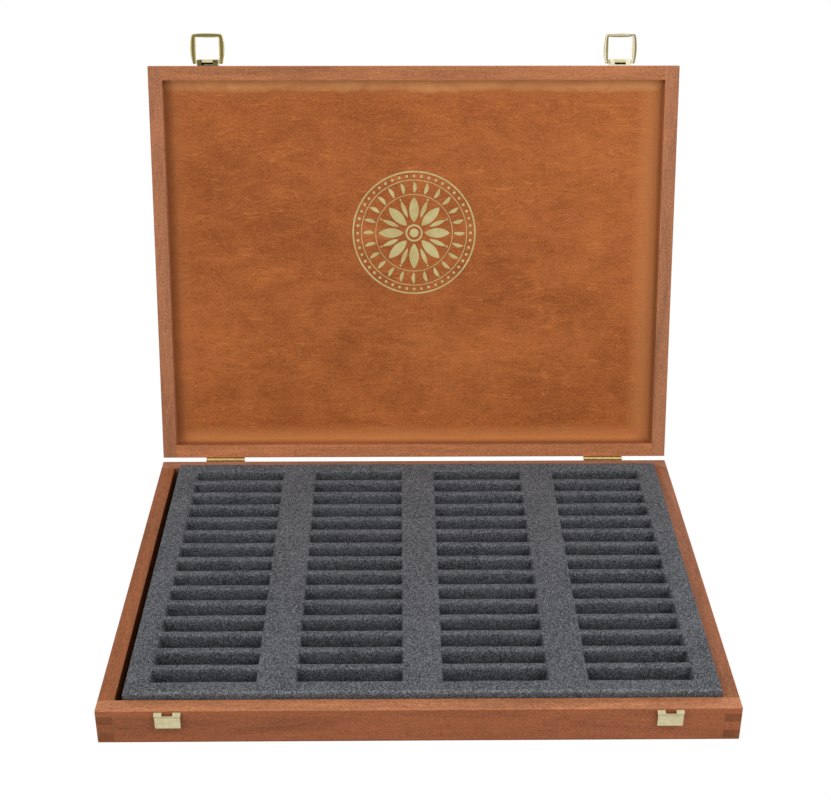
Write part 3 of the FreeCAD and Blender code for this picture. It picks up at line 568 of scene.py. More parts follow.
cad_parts["lid_panel"].data.materials[0] = panel_finish(
    "lid_panel_finish", True, (197, 114, 58), (143, 74, 30), (222, 147, 88))
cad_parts["base_bottom_panel"].data.materials[0] = panel_finish(
    "bottom_panel_finish", False, (176, 112, 68), (146, 86, 48), (176, 112, 68))
print("finished panels: 2")

# %% [markdown]
# ## Brass
# Hinges, latches and strikes are brass-plated steel, stamped, tumbled and lightly lacquered. The group gives
# a pale gold that is a little browner in cloudy patches and in fine rubbed lines, and a roughness that
# follows them. The right latch's bail and plate are painted paler than the left one's: painted light, for the
# brighter reflections that brass shows there. The left plate is painted dark: painted shade.

# %% The brass group and its finishes
rubbed, rubbed_in, rubbed_out = new_group(
    "rubbed_brass", {"Place": "Vector", "Bright": "Color", "Dull": "Color", "Amount": "Float"},
    {"Colour": "Color", "Roughness": "Float", "Height": "Float"})
clouded = noise(rubbed, rubbed_in["Place"], (260, 260, 260), 2.0, 0.5, 0.4)
scored = noise(rubbed, rubbed_in["Place"], (300, 700, 700), 2.0, 0.5)
wear = spread(rubbed, shares(rubbed, (clouded, 0.7), (scored, 0.3)), 0.38, 0.68)
wear = times(rubbed, wear, rubbed_in["Amount"])
fill(rubbed, rubbed_out, Colour=mixed(rubbed, wear, rubbed_in["Bright"], rubbed_in["Dull"]),
     Roughness=spread(rubbed, wear, 0.0, 1.0, 0.22, 0.42), Height=scored)


def brass_finish(name, bright, dull, amount, painted_dark=None):
    """Brass; with a painted_dark colour, the piece's own "hollow" values darken it: painted shade and dark
    reflection in hollows and creases.
    """
    material, tree, shader, coordinates = new_material(name)
    looks = use_group(tree, rubbed, Place=coordinates.outputs["Object"], Bright=colour(*bright),
                      Dull=colour(*dull), Amount=amount).outputs
    surface = looks["Colour"]
    if painted_dark:
        dark_share = add(tree, "Attribute", {"attribute_name": "hollow"}).outputs["Fac"]
        surface = mixed(tree, times(tree, dark_share, 0.9), surface, colour(*painted_dark))
    fill(tree, shader, Base_Color=surface, Roughness=looks["Roughness"], Metallic=1.0,
         Normal=bumped(tree, looks["Height"], 0.15, 0.00001))
    return material


plated = brass_finish("plated_brass", (214, 205, 160), (186, 174, 126), 0.5)
bent = brass_finish("bent_brass", (208, 198, 160), (178, 166, 122), 0.5, painted_dark=(118, 106, 62))
turned = brass_finish("turned_brass", (212, 190, 130), (164, 142, 86), 0.6)
# The right bail's paler colours are painted light.
pressed = {
    "left": brass_finish("pressed_brass", (206, 194, 144), (166, 152, 102), 0.6, painted_dark=(118, 106, 62)),
    "right": brass_finish("pressed_brass_painted_light", (246, 242, 217), (220, 212, 176), 0.5, painted_dark=(104, 74, 18)),
}
# Painted shade on the left plate, painted light on the right one.
plate_light_and_shade = {
    "left": brass_finish("shaded_brass", (116, 104, 66), (56, 46, 26), 0.95),
    "right": brass_finish("plate_brass_painted_light", (240, 236, 212), (204, 196, 160), 0.7),
}
# Near-black brass for the lever ends: painted shade.
painted_shade_black = brass_finish("lever_end_painted_shade", (58, 52, 38), (26, 22, 16), 0.9)
for node_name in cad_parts:
    if node_name.startswith(("hinge", "latch", "strike")):
        small = node_name.endswith(("pin", "screws", "nails"))
        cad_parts[node_name].data.materials[0] = turned if small or "leaf" in node_name else plated
print("brass finishes:", plated.name, bent.name, turned.name, "and two shadings of", pressed["left"].name)

# %% [markdown]
# ## From grids to meshes
# Each new piece is a surface over two parameters, worked out for the whole grid at once. What is left is
# the same every time: number the grid's corners, join them in fours, and hand over the arrays. What has to
# be mended afterwards is mended in a bmesh, Blender's editable form of a mesh.

# %% Mesh helpers
SAME_SPOT = 0.000002


def grid_faces(rows, columns, columns_close=False):
    """The four-cornered faces of rows by columns points; closing columns join the last to the first."""
    row = np.arange(rows - 1)[:, None]
    column = np.arange(columns if columns_close else columns - 1)[None, :]
    after, beside = row + 1, (column + 1) % columns
    corners = (row * columns + column, row * columns + beside, after * columns + beside,
               after * columns + column)
    return np.stack(np.broadcast_arrays(*corners), axis=-1).reshape(-1, 4)


def new_piece(name, points, faces, body, material, smooth=True):
    """A mesh object at the origin from arrays of points and faces, riding on a body."""
    mesh = bpy.data.meshes.new(name)
    mesh.from_pydata(np.asarray(points, float).reshape(-1, 3).tolist(), [], [list(face) for face in faces])
    mesh.materials.append(material)
    mesh.polygons.foreach_set("use_smooth", np.full(len(mesh.polygons), smooth))
    mesh.update()
    piece = in_scene(name, mesh)
    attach(piece, body)
    return piece


def rework(mesh, *steps):
    """A mesh opened for editing, taken through each step, and written back."""
    work = bmesh.new()
    work.from_mesh(mesh)
    for step in steps:
        step(work)
    work.to_mesh(mesh)
    work.free()


def join_points(work):
    """Points on the same spot become one."""
    bmesh.ops.remove_doubles(work, verts=work.verts, dist=SAME_SPOT)


def drop_slivers(work):
    """Edges without length and faces without area are dropped."""
    bmesh.ops.dissolve_degenerate(work, edges=work.edges, dist=SAME_SPOT)


def turn_outwards(work):
    """Every face of a closed piece looks out of it."""
    bmesh.ops.recalc_face_normals(work, faces=work.faces)


def tidy_mesh(piece):
    """The three steps for a closed piece."""
    rework(piece.data, join_points, drop_slivers, turn_outwards)
    piece.data.update()
    return piece


def mark_painted_dark(piece, dark_share):
    """How dark each point's brass is painted as shade and dark reflection, from 0 to 1, kept on the mesh as
    "hollow" for its brass to read.
    """
    values = piece.data.attributes.new("hollow", "FLOAT", "POINT").data
    values.foreach_set("value", np.ravel(dark_share).astype(np.float32))


print("a 3 by 4 grid has", len(grid_faces(3, 4)), "faces")

# %% [markdown]
# ## Foam insert
# A block of open-cell foam fills the tray: a sheet cut through with sixty slots, glued on a plain sheet.
# Sixty boxes could be cut out of a block, but that leaves knife edges, and real foam gives at every lip.
# So the top is a height over a grid instead. A short table says how far the surface has dropped at each
# distance from a slot's edge, and the grid's lines lie exactly at those distances, close together on the
# steep walls and far apart where the foam is flat. The drop at a point is the smaller of what its place
# along X and along Y allow, and the outer sides come from a second table in the same way.

# %% Lines of the foam's grid
FOAM_LOW, FOAM_HIGH = (np.array(corner) for corner in ((-0.1936, -0.1486, PLY), (0.1984, 0.1464, 0.0314)))
SLOT, PITCH, COUNT = np.array([0.0705, 0.0132]), np.array([0.0965, 0.0184]), np.array([4, 15])
SLOT_DEPTH = 0.014
LIP = np.array([(-2.2, 0), (-1.5, 0.03), (-0.95, 0.11), (-0.5, 0.26), (-0.15, 0.50), (0.1, 0.92),
                (0.28, 1.8), (0.42, 3.8), (0.55, 7.0), (0.7, 10.5), (0.95, 12.8), (1.5, 13.8),
                (2.2, 14.0)]) * MM
SIDE = np.array([(1.6, 0), (0.95, 0.09), (0.45, 0.32), (0.12, 0.75), (0, 1.4), (0, 4.5), (0, 9),
                 (0.02, 13.3), (0.35, 14.0), (0.02, 14.6), (0, 20), (0, 27.4)]) * MM


def grid_lines(axis, room):
    """Where the grid's lines lie along one axis, and for each its drop inside the slots and at the side."""
    low, high = FOAM_LOW[axis], FOAM_HIGH[axis]
    margin = (high - low - (COUNT[axis] - 1) * PITCH[axis] - SLOT[axis]) / 2
    starts = low + margin + PITCH[axis] * np.arange(COUNT[axis])
    places, drops = [low + SIDE[::-1, 0]], [np.zeros(len(SIDE))]
    previous = low + SIDE[0, 0]
    for start in starts:
        stop = start + SLOT[axis]
        flat = np.arange(1, round((start + LIP[0, 0] - previous) / room)) * room + previous
        inside = np.linspace(start + LIP[-1, 0], stop - LIP[-1, 0], 2 + int(SLOT[axis] / room))[1:-1]
        places += [flat, start + LIP[:, 0], inside, stop - LIP[::-1, 0]]
        drops += [0 * flat, LIP[:, 1], 0 * inside + SLOT_DEPTH, LIP[::-1, 1]]
        previous = stop - LIP[0, 0]
    flat = np.arange(1, round((high - SIDE[0, 0] - previous) / room)) * room + previous
    places += [flat, high - SIDE[:, 0]]
    drops += [0 * flat, np.zeros(len(SIDE))]
    at_side = np.zeros(sum(map(len, places)))
    at_side[: len(SIDE)], at_side[-len(SIDE):] = SIDE[::-1, 1], SIDE[:, 1]
    return np.concatenate(places), np.concatenate(drops), at_side


line_x, drop_x, side_x = grid_lines(0, 0.0055)
line_y, drop_y, side_y = grid_lines(1, 0.004)
print("the foam's grid has", len(line_x), "by", len(line_y), "lines")

# %% [markdown]
# ## Foam: its surface
# The cut lips of real foam are never quite straight, and its top sags a little. A Displace modifier on a
# cloud texture could do that, but a sum of a few sine waves is as short in numpy, and a seed makes it the
# same each time. Below, a fan of triangles to one point in the middle of the bottom closes the block.

# %% The foam's surface
WANDER, SAG = 0.00022, 0.00018


def waves(x, y, size, seed):
    """A soft random surface about 0: eight sine waves with directions and phases of their own, summed."""
    pick = np.random.default_rng(seed)
    heading, phase = pick.uniform(0, math.tau, 8), pick.uniform(0, math.tau, 8)
    number = math.tau / size * pick.uniform(0.6, 1.5, 8)
    travel = x[..., None] * np.cos(heading) + y[..., None] * np.sin(heading)
    return np.sin(travel * number + phase).sum(-1) / 4


def foam_points():
    """Height = top - the larger of the slot's drop and the side's drop, with a little unevenness."""
    x, y = np.meshgrid(line_x, line_y)
    slot_drop = np.minimum(*np.meshgrid(drop_x, drop_y))
    side_drop = np.maximum(*np.meshgrid(side_x, side_y))
    z = FOAM_HIGH[2] - np.maximum(slot_drop, side_drop)
    inner = 1 - np.clip(side_drop / MM, 0, 1)
    x = x + WANDER * waves(x, y, 0.016, 1) * inner
    y = y + WANDER * waves(x, y, 0.013, 2) * inner
    z = z - SAG * (1 + waves(x, y, 0.05, 3)) * inner
    return np.stack([x, y, z], axis=-1)


points = foam_points()
rows, columns = points.shape[:2]
faces = grid_faces(rows, columns).tolist()
numbers = np.arange(rows * columns).reshape(rows, columns)
rim = np.concatenate([numbers[0, :-1], numbers[:-1, -1], numbers[-1, :0:-1], numbers[:0:-1, 0]])
middle = rows * columns
faces += np.stack([np.roll(rim, -1), rim, np.full(len(rim), middle)], axis=-1).tolist()
bottom_middle = np.append((FOAM_LOW[:2] + FOAM_HIGH[:2]) / 2, FOAM_LOW[2])
points = np.vstack([points.reshape(-1, 3), bottom_middle])
print("foam points", len(points), "faces", len(faces))

# %% [markdown]
# ## Foam: its finish
# The foam's look is all in its cells: each is a tiny dark hole between light walls. A Voronoi pattern at
# the size of a cell gives a random shade for each cell and the walls around it, and the walls drive the
# bump. Below its top the foam is darkened with its depth: painted shade in the slots. Along the front, its
# top few millimetres are painted lighter: painted light.

# %% The foam's finish
CELLS_IN_A_METRE = 1650.0
foam_material, tree, shader, coordinates = new_material("dark_foam")
place = coordinates.outputs["Object"]
cells = add(tree, "TexVoronoi", {"feature": "F1"}, Vector=place, Scale=CELLS_IN_A_METRE, Randomness=1.0)
wall = spread(tree, cells.outputs["Distance"], 0.12, 0.62)
chance = add(tree, "SeparateColor", Color=cells.outputs["Color"]).outputs
patch = noise(tree, place, (32, 32, 32), 3.0, 0.5)
shade = shares(tree, (chance[1], 0.5), (maths(tree, "POWER", chance[0], 4.0), 1.3))
shade = times(tree, shade, spread(tree, wall, 0.0, 1.0, 0.25, 1.2))
shade = maths(tree, "ADD", shade, times(tree, maths(tree, "SUBTRACT", patch, 0.5), 0.35))
foam_colour = mixed(tree, shade, colour(38, 40, 43), colour(134, 137, 142))
parts = axes_of(tree, place)
# Painted shade: darker with the depth below the top; painted light near the top of the front face.
painted_shading = spread(tree, parts[2], FOAM_HIGH[2] - 0.013, FOAM_HIGH[2] - 0.001, 0.42, 1.0)
at_front = spread(tree, parts[1], FOAM_LOW[1] + 0.002, FOAM_LOW[1] + 0.004, 1.0, 0.0)
front_painted_light = spread(tree, parts[2], FOAM_HIGH[2] - 0.0045, FOAM_HIGH[2] - 0.0012, 0.5, 1.3)
painted_shading = maths(tree, "MAXIMUM", painted_shading, times(tree, at_front, front_painted_light))
wall_shade = add(tree, "CombineColor", Red=painted_shading, Green=painted_shading, Blue=painted_shading).outputs[0]
foam_colour = mixed(tree, 1.0, foam_colour, wall_shade, "MULTIPLY")
fill(tree, shader, Base_Color=foam_colour, Roughness=0.95, Specular_IOR_Level=0.15,
     Normal=bumped(tree, wall, 0.7, 0.0004))
foam = new_piece("foam_insert", points, faces, "base", foam_material)
tidy_mesh(foam)
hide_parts("foam_base_layer", "foam_slotted_layer")
print("the foam has", len(foam.data.polygons), "faces")

# %% [markdown]
# ## Bails
# A bail is the ring of a toggle latch, pressed from sheet: crowned on the side that faces out when the case
# is shut, and hollow on the other, which is the side that shows while the lid is open. A tube along a curve
# would have one width all the way, but the bar is wider in its middle and the arms widen towards it. So an
# inner edge and an outer edge are worked out as two rows of points, made of arcs and one straight line. Half
# a bail is enough, because the other half mirrors it.

# %% The latch's own directions


def latch_place(points, middle_x):
    """From across, out from the wood and up from the lid's rim, to the open case."""
    across, out, rise = np.moveaxis(np.asarray(points, float), -1, 0)
    closed = np.stack([middle_x + across, -CASE[1] / 2 - out, LID_RIM + rise], axis=-1)
    return swung_open(closed)


def arc(centre, radius, start, stop, count):
    """Points on a circle's arc between two angles in degrees."""
    angle = np.radians(np.linspace(start, stop, count))
    return np.stack([centre[0] + radius * np.cos(angle), centre[1] + radius * np.sin(angle)], axis=-1)


def bulged(start, stop, radius, count):
    """Points from start to stop on an arc of a given radius that bulges to the right of the way along it."""
    start, stop = np.asarray(start, float), np.asarray(stop, float)
    chord = np.linalg.norm(stop - start)
    ahead_of = (stop - start) / chord
    aside = np.array([ahead_of[1], -ahead_of[0]])
    t = np.linspace(-0.5, 0.5, count)[:, None] * chord
    rise = np.sqrt(radius**2 - t**2) - math.sqrt(radius**2 - (chord / 2) ** 2)
    return (start + stop) / 2 + t * ahead_of + rise * aside


PIVOT_OUT, PIVOT_RISE = 2.9 * MM, 5.8 * MM
INSIDE, ARM_END, ARM_TIP = 9.1 * MM, 12.1 * MM, 12.6 * MM
BAR_INNER, BAR_OUTER, CORNER, INNER_CORNER = 19.23 * MM, 21.73 * MM, 2.4 * MM, 0.6 * MM
ARM_BULGE, BAR_BULGE = 0.042, 0.096
print("a bail reaches", round(BAR_OUTER / MM, 2), "mm from its pivot")

# %% The bail's edges


def bail_edges():
    """The inner and the outer edge of half a bail, from behind the pivot round the corner to mid-bar."""
    arm, half_arm = ((INSIDE + ARM_END) / 2, 0), (ARM_END - INSIDE) / 2
    outer_x, outer_y = ARM_TIP - CORNER, BAR_OUTER - CORNER
    inner_x, inner_y = INSIDE - INNER_CORNER, BAR_INNER - INNER_CORNER
    outer = [arc(arm, half_arm, -88, 0, 8),
             bulged((ARM_END, 0), (ARM_TIP, outer_y), ARM_BULGE, 16)[1:],
             arc((outer_x, outer_y), CORNER, 0, 90, 9)[1:],
             bulged((outer_x, BAR_OUTER), (-outer_x, BAR_OUTER), BAR_BULGE, 25)[1:13]]
    inner = [arc(arm, half_arm, -92, -180, 8),
             np.linspace((INSIDE, 0), (INSIDE, inner_y), 16)[1:],
             arc((inner_x, inner_y), INNER_CORNER, 0, 90, 9)[1:],
             bulged((-inner_x, BAR_INNER), (inner_x, BAR_INNER), BAR_BULGE, 25)[::-1][1:13]]
    return np.vstack(inner), np.vstack(outer)


print("half a bail has", len(bail_edges()[0]), "steps")

# %% [markdown]
# ## Bails: section and surface
# The sheet was pressed into a groove, so its section is crowned in front and hollow behind, with thin rims.
# A curve can carry such a section too, but its width would have to follow a second, tapering curve. Here the
# section is stretched at every step from the inner edge to the outer one, and raised by its own height. Each
# point also keeps how dark its brass is painted, as painted shade and dark reflection: all over the hollow,
# or on the paler bail in one line along a side of each bar.

# %% The bail's section and stubs


def bail_section():
    """The pressing's outline: share of the way from edge to edge, height, and how deep in the hollow."""
    share = np.linspace(0, 1, 15)
    crown = 0.30 + 0.45 * np.sin(math.pi * share) ** 0.7
    dish = np.clip((0.5 - np.abs(share - 0.5) - 0.24) / 0.12, 0, 1)
    hollow = dish**2 * (3 - 2 * dish)
    under = -0.75 + 0.80 * hollow
    front = np.stack([share, crown, 0 * share], axis=-1)
    back = np.stack([share, under, hollow], axis=-1)[::-1]
    outer_side = np.array([(1.0, 0.0, 0.0), (1.0, -0.45, 0.0)])
    inner_side = outer_side[::-1] * (0, 1, 1)
    back[[0, -1], 1], back[[0, -1], 0] = -0.66, [0.97, 0.03]
    return np.vstack([front, outer_side, back, inner_side])


def stub_surface(sign):
    """A pivot stub: circles round the pivot's line, shrinking to a point at both ends to close it."""
    along = np.array([7.6, 7.6, 7.75, 10.4, 10.6, 10.6])
    radius = np.array([0.0, 0.58, 0.7, 0.7, 0.5, 0.0])
    angle = np.linspace(0, math.tau, 20, endpoint=False)
    across = np.broadcast_to(sign * along[:, None], (len(along), len(angle)))
    out = PIVOT_OUT / MM + radius[:, None] * np.cos(angle)
    up = PIVOT_RISE / MM + radius[:, None] * np.sin(angle)
    return np.stack([across, out, up], axis=-1) * MM, grid_faces(len(along), len(angle), columns_close=True)


print("the section has", len(bail_section()), "points")

# %% Both bails
PRESSED_EDGE = math.radians(28)


def painted_darkness(side, across, section):
    """How dark a bail is painted: its hollow's depth, or on the paler one a bell curve near a side of each
    bar; painted shade and dark reflection.
    """
    if side == "left":
        return np.broadcast_to(section[:, 2], across.shape)
    middle = across.mean(axis=1, keepdims=True)
    runs_at = 0.25 + 0.5 * np.clip((middle / MM - 7.5) / 3.0, 0, 1)
    return np.exp(-(((section[:, 0] - runs_at) / 0.21) ** 2)) * (section[:, 1] < 0.2)


def make_bail(side, middle_x):
    """Half the points are inner + share x (outer - inner), raised by the section; the rest mirror them."""
    inner, outer = bail_edges()
    section = bail_section()
    flat = inner[:, None] + section[None, :, :1] * (outer - inner)[:, None]
    flat = np.concatenate([flat, flat[:-1][::-1] * (-1, 1)])
    rise = np.broadcast_to(section[:, 1] * MM, flat.shape[:2])
    local = np.stack([flat[..., 0], PIVOT_OUT + flat[..., 1], PIVOT_RISE + rise], axis=-1)
    rows, columns = local.shape[:2]
    faces = grid_faces(rows, columns, columns_close=True).tolist()
    faces += [list(range(columns))[::-1], list(range((rows - 1) * columns, rows * columns))]
    dark_share = painted_darkness(side, local[..., 0], section).ravel()
    points = local.reshape(-1, 3)
    for stub in (-1, 1):
        pin_points, pin_faces = stub_surface(stub)
        faces += (pin_faces + len(points)).tolist()
        points = np.vstack([points, pin_points.reshape(-1, 3)])
        dark_share = np.append(dark_share, np.zeros(pin_points.size // 3))
    piece = new_piece(f"bail_{side}_pressing", latch_place(points, middle_x), faces, f"bail_{side}",
                      pressed[side])
    mark_painted_dark(piece, dark_share)
    tidy_mesh(piece)
    piece.data.set_sharp_from_angle(angle=PRESSED_EDGE)
    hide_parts(f"latch_{side}_bail")
    return piece


for side, middle_x in SIDES.items():
    print(side, "bail:", len(make_bail(side, middle_x).data.polygons), "faces")

# %% [markdown]
# ## Strikes
# A strike is a strip of sheet with one bend: its top runs back into the wood as two prongs, and its front
# hangs clear, so that a bail can hook under it. The blank is a grid: one parameter runs along the bent line,
# the other across it. Faces in the notch are left out, a Solidify modifier gives the sheet its thickness,
# and a narrow Bevel rounds the cut edges so that they catch the light. Under the bend the brass is painted
# dark in a crease, which is painted shade, and how dark is one more bell curve.

# %% Bent strips
CUT_EDGE, CUT_WIDTH, BEND_STEPS = math.radians(35), 0.12 * MM, 6


def bent_line(corners, radius):
    """A line through corners with each inner one rounded: an arc between its two tangent points."""
    corners = np.asarray(corners, float)
    line = [corners[:1]]
    for before, corner, after in zip(corners, corners[1:], corners[2:]):
        back, forth = before - corner, after - corner
        back, forth = back / np.linalg.norm(back), forth / np.linalg.norm(forth)
        half_angle = math.acos(float(np.clip(back @ forth, -1, 1))) / 2
        reach = radius / math.tan(half_angle)
        middle = corner + (back + forth) / np.linalg.norm(back + forth) * radius / math.sin(half_angle)
        share = np.linspace(0, 1, BEND_STEPS)[:, None]
        spoke = (corner + back * reach - middle) * (1 - share) + (corner + forth * reach - middle) * share
        line.append(middle + spoke / np.linalg.norm(spoke, axis=1)[:, None] * radius)
    line.append(corners[-1:])
    return np.vstack(line)


def soften(piece, width=CUT_WIDTH):
    """Rounded edges: a Bevel on every edge sharper than the cut angle, and smooth shading elsewhere."""
    soft = piece.modifiers.new("cut_edges", "BEVEL")
    soft.width, soft.segments, soft.limit_method, soft.angle_limit = width, 2, "ANGLE", CUT_EDGE
    soft.harden_normals = True
    piece.data.polygons.foreach_set("use_smooth", np.ones(len(piece.data.polygons), bool))
    piece.data.set_sharp_from_angle(angle=CUT_EDGE)


print("a bend is drawn with", BEND_STEPS, "points")

# %% Both strikes
STRIKE_TOP, STRIKE_HALF, LEDGE_HALF, NOTCH_HALF = TRAY_HEIGHT / MM - 1.0, 8.35, 8.75, 3.5
FOOT, FOOT_ROUND, SHEET = -11.3, 0.4, 0.8
CREASE_AT, CREASE_WIDTH, CREASE_SHADE = -2.6, 0.3, 0.75


def drop_loose(work):
    """Points that no face uses are dropped."""
    bmesh.ops.delete(work, geom=[point for point in work.verts if not point.link_faces], context="VERTS")


def make_strike(side, middle_x):
    """Outwards and up follow the bent line; across is a share of the half width, less at the foot."""
    drop = np.array([FOOT, -11.15, -10.9, -10.5, -9, -6, -3.6, -2.9, -2.6, -2.3, -1.6])
    hang = np.stack([np.full(len(drop), 2.35), drop], axis=-1)
    bend = bent_line([(2.42, -1.6), (2.5, -0.75), (0.35, 0.0), (-6, 0.0)], 0.5)
    line = np.vstack([hang, bend[1:]])
    foot = np.clip((line[:, 1] - FOOT) / FOOT_ROUND, 0, 1)
    half = STRIKE_HALF - FOOT_ROUND * (1 - np.sqrt(1 - (1 - foot) ** 2))
    half = half + (LEDGE_HALF - STRIKE_HALF) * np.clip((line[:, 1] + 3.6) / 2.6, 0, 1)
    notch = NOTCH_HALF / LEDGE_HALF
    share = np.array([-1, -0.96, -0.8, -0.6, -notch, -0.2, 0, 0.2, notch, 0.6, 0.8, 0.96, 1])
    across = half[:, None] * share[None, :]
    out = np.broadcast_to(line[:, :1], across.shape)
    up = np.broadcast_to(line[:, 1:], across.shape)
    points = np.stack([middle_x / MM + across, -CASE[1] / 2 / MM - out, STRIKE_TOP + up], axis=-1) * MM
    behind_bend = np.arange(len(line) - 1)[:, None] >= len(drop) - 1
    between_prongs = np.abs(share[:-1] + share[1:])[None, :] / 2 < notch
    faces = grid_faces(*across.shape)[~(behind_bend & between_prongs).ravel()]
    piece = new_piece(f"strike_{side}_bent", points, faces.tolist(), "base", bent)
    # Painted shade: the crease under the bend is darkened.
    mark_painted_dark(piece, CREASE_SHADE * np.exp(-(((up - CREASE_AT) / CREASE_WIDTH) ** 2)))
    rework(piece.data, drop_loose)
    wall = piece.modifiers.new("sheet", "SOLIDIFY")
    wall.thickness, wall.offset, wall.use_even_offset = SHEET * MM, -1.0, True
    soften(piece)
    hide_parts(f"strike_{side}")
    return piece


for side, middle_x in SIDES.items():
    strike = make_strike(side, middle_x)
    way = tuple(round(value, 1) for value in strike.data.polygons[0].normal)
    print(side, "strike:", len(strike.data.polygons), "faces, facing", way)

# %% [markdown]
# ## Levers, plates and hinge leaves
# These are already in the frame with every bend and hole, but with edges as sharp as a drawing. Stamped and
# tumbled metal never has such edges. The frame's own meshes stay untouched: each piece here is a copy with
# its loose triangles joined and its flat areas made whole, and a Bevel then rounds all sharp edges. New
# surfaces would do as well, but the exact holes and bends are worth keeping.

# %% How a frame piece is softened
NEARLY_FLAT, LEAF_WIDTH = math.radians(1.5), 0.1 * MM


def join_flats(work):
    """Neighbouring faces in one plane become one."""
    bmesh.ops.dissolve_limit(work, angle_limit=NEARLY_FLAT, verts=work.verts, edges=work.edges)


def softened_copy(node_name, body, material, width=CUT_WIDTH):
    """A copy of a frame piece, its equal points merged and flat neighbours joined, with rounded edges."""
    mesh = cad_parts[node_name].data.copy()
    mesh.name = node_name + "_tumbled"
    rework(mesh, join_points, join_flats)
    mesh.materials.clear()
    mesh.materials.append(material)
    piece = in_scene(node_name + "_tumbled", mesh)
    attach(piece, body)
    soften(piece, width)
    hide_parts(node_name)
    return piece


print("edges are rounded by", round(CUT_WIDTH / MM, 2), "or", round(LEAF_WIDTH / MM, 2), "mm")

# %% [markdown]
# ## Ends of the levers
# A lever's end is turned in, and it is near-black: painted shade, a dark wall set where the lever's hollow
# lies in shadow. A narrow lip stands before it, where a thumb pulls. Both are slabs with rounded corners. A
# beveled cube would do, but a power of eight in the outline's formula gives the soft corners of pressed
# sheet, and one function makes all four.

# %% The slabs, and all pieces of latches and hinges


def rounded_slab(name, middle_x, half_across, out, rise, body, material):
    """A slab: its outline |x/a|^8 + |y/b|^8 = 1 shrinks over the rims to a middle point at each end."""
    angle = np.linspace(0, math.tau, 64, endpoint=False)
    ring_x = np.sign(np.cos(angle)) * np.abs(np.cos(angle)) ** 0.25
    ring_y = np.sign(np.sin(angle)) * np.abs(np.sin(angle)) ** 0.25
    inset = np.array([9.0, 0.12, 0.04, 0.0, 0.0, 0.04, 0.12, 9.0])[:, None]
    up = rise[0] + (rise[1] - rise[0]) * np.array([0, 0, 0.06, 0.2, 0.8, 0.94, 1, 1])[:, None]
    half_out = (out[1] - out[0]) / 2
    across = np.clip(half_across - inset, 0, None) * ring_x
    outwards = sum(out) / 2 + np.clip(half_out - inset, 0, None) * ring_y
    local = np.stack([across, outwards, up + 0 * ring_x], axis=-1) * MM
    faces = grid_faces(len(inset), len(angle), columns_close=True).tolist()
    return tidy_mesh(new_piece(name, latch_place(local, middle_x), faces, body, material))


for side, middle_x in SIDES.items():
    lever_body = f"lever_{side}"
    # The end slab is a sheet of painted shade in the lever's shadowed hollow.
    rounded_slab(f"lever_{side}_end", middle_x, 7.9, (0.9, 4.1), (11.45, 12.15), lever_body, painted_shade_black)
    rounded_slab(f"lever_{side}_lip", middle_x, 8.6, (3.85, 5.05), (11.75, 12.35), lever_body, plated)
    softened_copy(f"latch_{side}_plate", "lid", plate_light_and_shade[side])
    softened_copy(f"latch_{side}_lever", f"lever_{side}", plated)
    softened_copy(f"hinge_{side}_base_leaf", "base", turned, LEAF_WIDTH)
    softened_copy(f"hinge_{side}_lid_leaf", "lid", turned, LEAF_WIDTH)
    print(side, "latch and hinge: two slabs and four softened copies")

# %% [markdown]
# ## Ornament inside the lid
# A round ornament is printed in pale gold on the lid's panel: two rings with a row of beads between them, a
# wreath of leaves round a thinner ring, and a rosette of petals about a small disc. Ink lies on the wood in
# a film, so each motif is a thin closed sheet on the panel. Drawing them as text or as curves would work
# too, but every motif here is one short formula, repeated by turning, so arrays give the whole print in one
# mesh.

# %% Motifs of the ornament
PRINT_MIDDLE, PRINT_FILM = (0.0, -0.027), 0.00004


def turned_about(motif, angles):
    """The motif's grid of points repeated at each angle about the origin."""
    cosine, sine = np.cos(angles)[:, None, None], np.sin(angles)[:, None, None]
    x, y = motif[None, ..., 0], motif[None, ..., 1]
    return np.stack([x * cosine - y * sine, x * sine + y * cosine], axis=-1)


def lens(start, length, half_width, tip, bow=0.0):
    """A leaf shape along +X: half width x sin(pi t) to the power tip, on a middle line that bows aside."""
    t, s = np.meshgrid(np.linspace(0, 1, 13), np.linspace(-1, 1, 5), indexing="ij")
    width = half_width * np.sin(math.pi * t) ** tip
    return np.stack([start + length * t, s * width + bow * np.sin(math.pi * t)], axis=-1)


def hoop(inner, outer, count=128):
    """A flat ring between two radii."""
    angle = np.linspace(0, math.tau, count + 1)[:, None]
    radius = np.array([[inner, outer]])
    return np.stack([radius * np.cos(angle), radius * np.sin(angle)], axis=-1)


def bead(at, radius, count=14):
    """A dot at a distance along +X: two circles, the inner one shrunk to its middle."""
    angle = np.linspace(0, math.tau, count + 1)[:, None]
    size = np.array([[0.0, radius]])
    return np.stack([at + size * np.cos(angle), size * np.sin(angle)], axis=-1)


def every(count, offset=0.0):
    """Equal turns, the first one moved by a share of the step."""
    return (np.arange(count) + offset) * math.tau / count


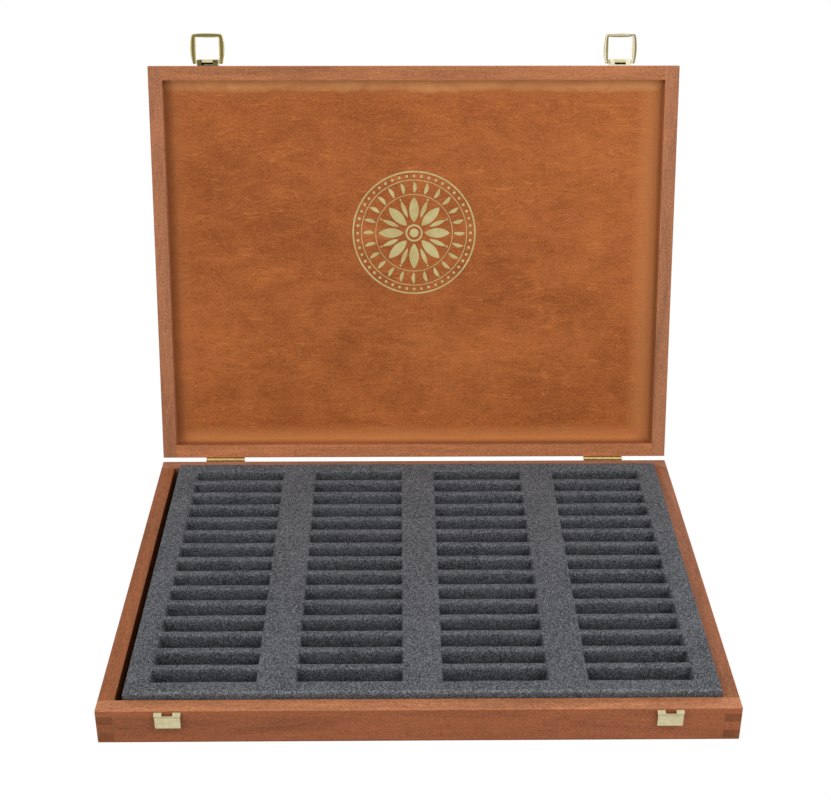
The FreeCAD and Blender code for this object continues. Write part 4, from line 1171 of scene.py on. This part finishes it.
motifs = [
    hoop(49.0, 50.2)[None],
    hoop(42.6, 43.2)[None],
    turned_about(bead(46.1, 1.15), every(48)),
    turned_about(lens(32.3, 9.4, 1.5, 0.8, 0.7), every(24)),
    hoop(31.0, 31.5)[None],
    turned_about(lens(8.6, 20.5, 3.9, 0.75), every(8)),
    turned_about(lens(13.5, 14.5, 1.7, 0.8), every(8, 0.5)),
    turned_about(bead(29.0, 0.8), every(8, 0.5)),
    hoop(5.6, 7.0, 48)[None],
    turned_about(bead(0.0, 3.6, 32), every(1)),
]
print("motifs:", sum(len(group) for group in motifs))

# %% [markdown]
# ## Laying the print on the panel
# The flat motifs are moved to their place, turned with the lid and made a film of 0.04 mm by a Solidify
# modifier. An image on the panel would be blurred when seen from near. The ink is worn: one noise mottles
# its gold, and a finer one lets the stained wood show through.

# %% Lay the print on the panel
points, faces, count = [], [], 0
for group in motifs:
    copies, rows, columns = group.shape[:3]
    one = grid_faces(rows, columns)
    faces.append((one[None] + (count + rows * columns * np.arange(copies))[:, None, None]).reshape(-1, 4))
    points.append(group.reshape(-1, 2))
    count += copies * rows * columns
flat = np.vstack(points) * MM + PRINT_MIDDLE
level_points = np.column_stack([flat, np.full(len(flat), PANEL_FACE - PRINT_FILM)])

gold, tree, shader, coordinates = new_material("gold_print")
place = coordinates.outputs["Object"]
thin = spread(tree, noise(tree, place, (900, 900, 900), 3.0, 0.6), 0.55, 0.72, 0.0, 0.55)
patchy = spread(tree, noise(tree, place, (90, 90, 90), 2.0), 0.35, 0.65)
ink = mixed(tree, patchy, colour(196, 178, 118), colour(212, 198, 142))
fill(tree, shader, Base_Color=mixed(tree, thin, ink, colour(176, 128, 74)),
     Roughness=spread(tree, patchy, 0.0, 1.0, 0.38, 0.5), Specular_IOR_Level=0.3)


def face_out(work):
    """Every print face looks out of the panel; those that looked into it are reversed."""
    work.normal_update()
    out_of_panel = Vector(swung_open([0, 0, -1]) - swung_open([0, 0, 0]))
    backwards = [face for face in work.faces if face.normal.dot(out_of_panel) < 0]
    bmesh.ops.reverse_faces(work, faces=backwards)
    print("print faces:", len(work.faces), "of them turned round:", len(backwards))


ornament = new_piece("lid_ornament", swung_open(level_points), np.vstack(faces).tolist(), "lid",
                     gold, smooth=False)
rework(ornament.data, join_points, drop_slivers, face_out)
film = ornament.modifiers.new("film", "SOLIDIFY")
film.thickness, film.offset = PRINT_FILM - SAME_SPOT, -1.0
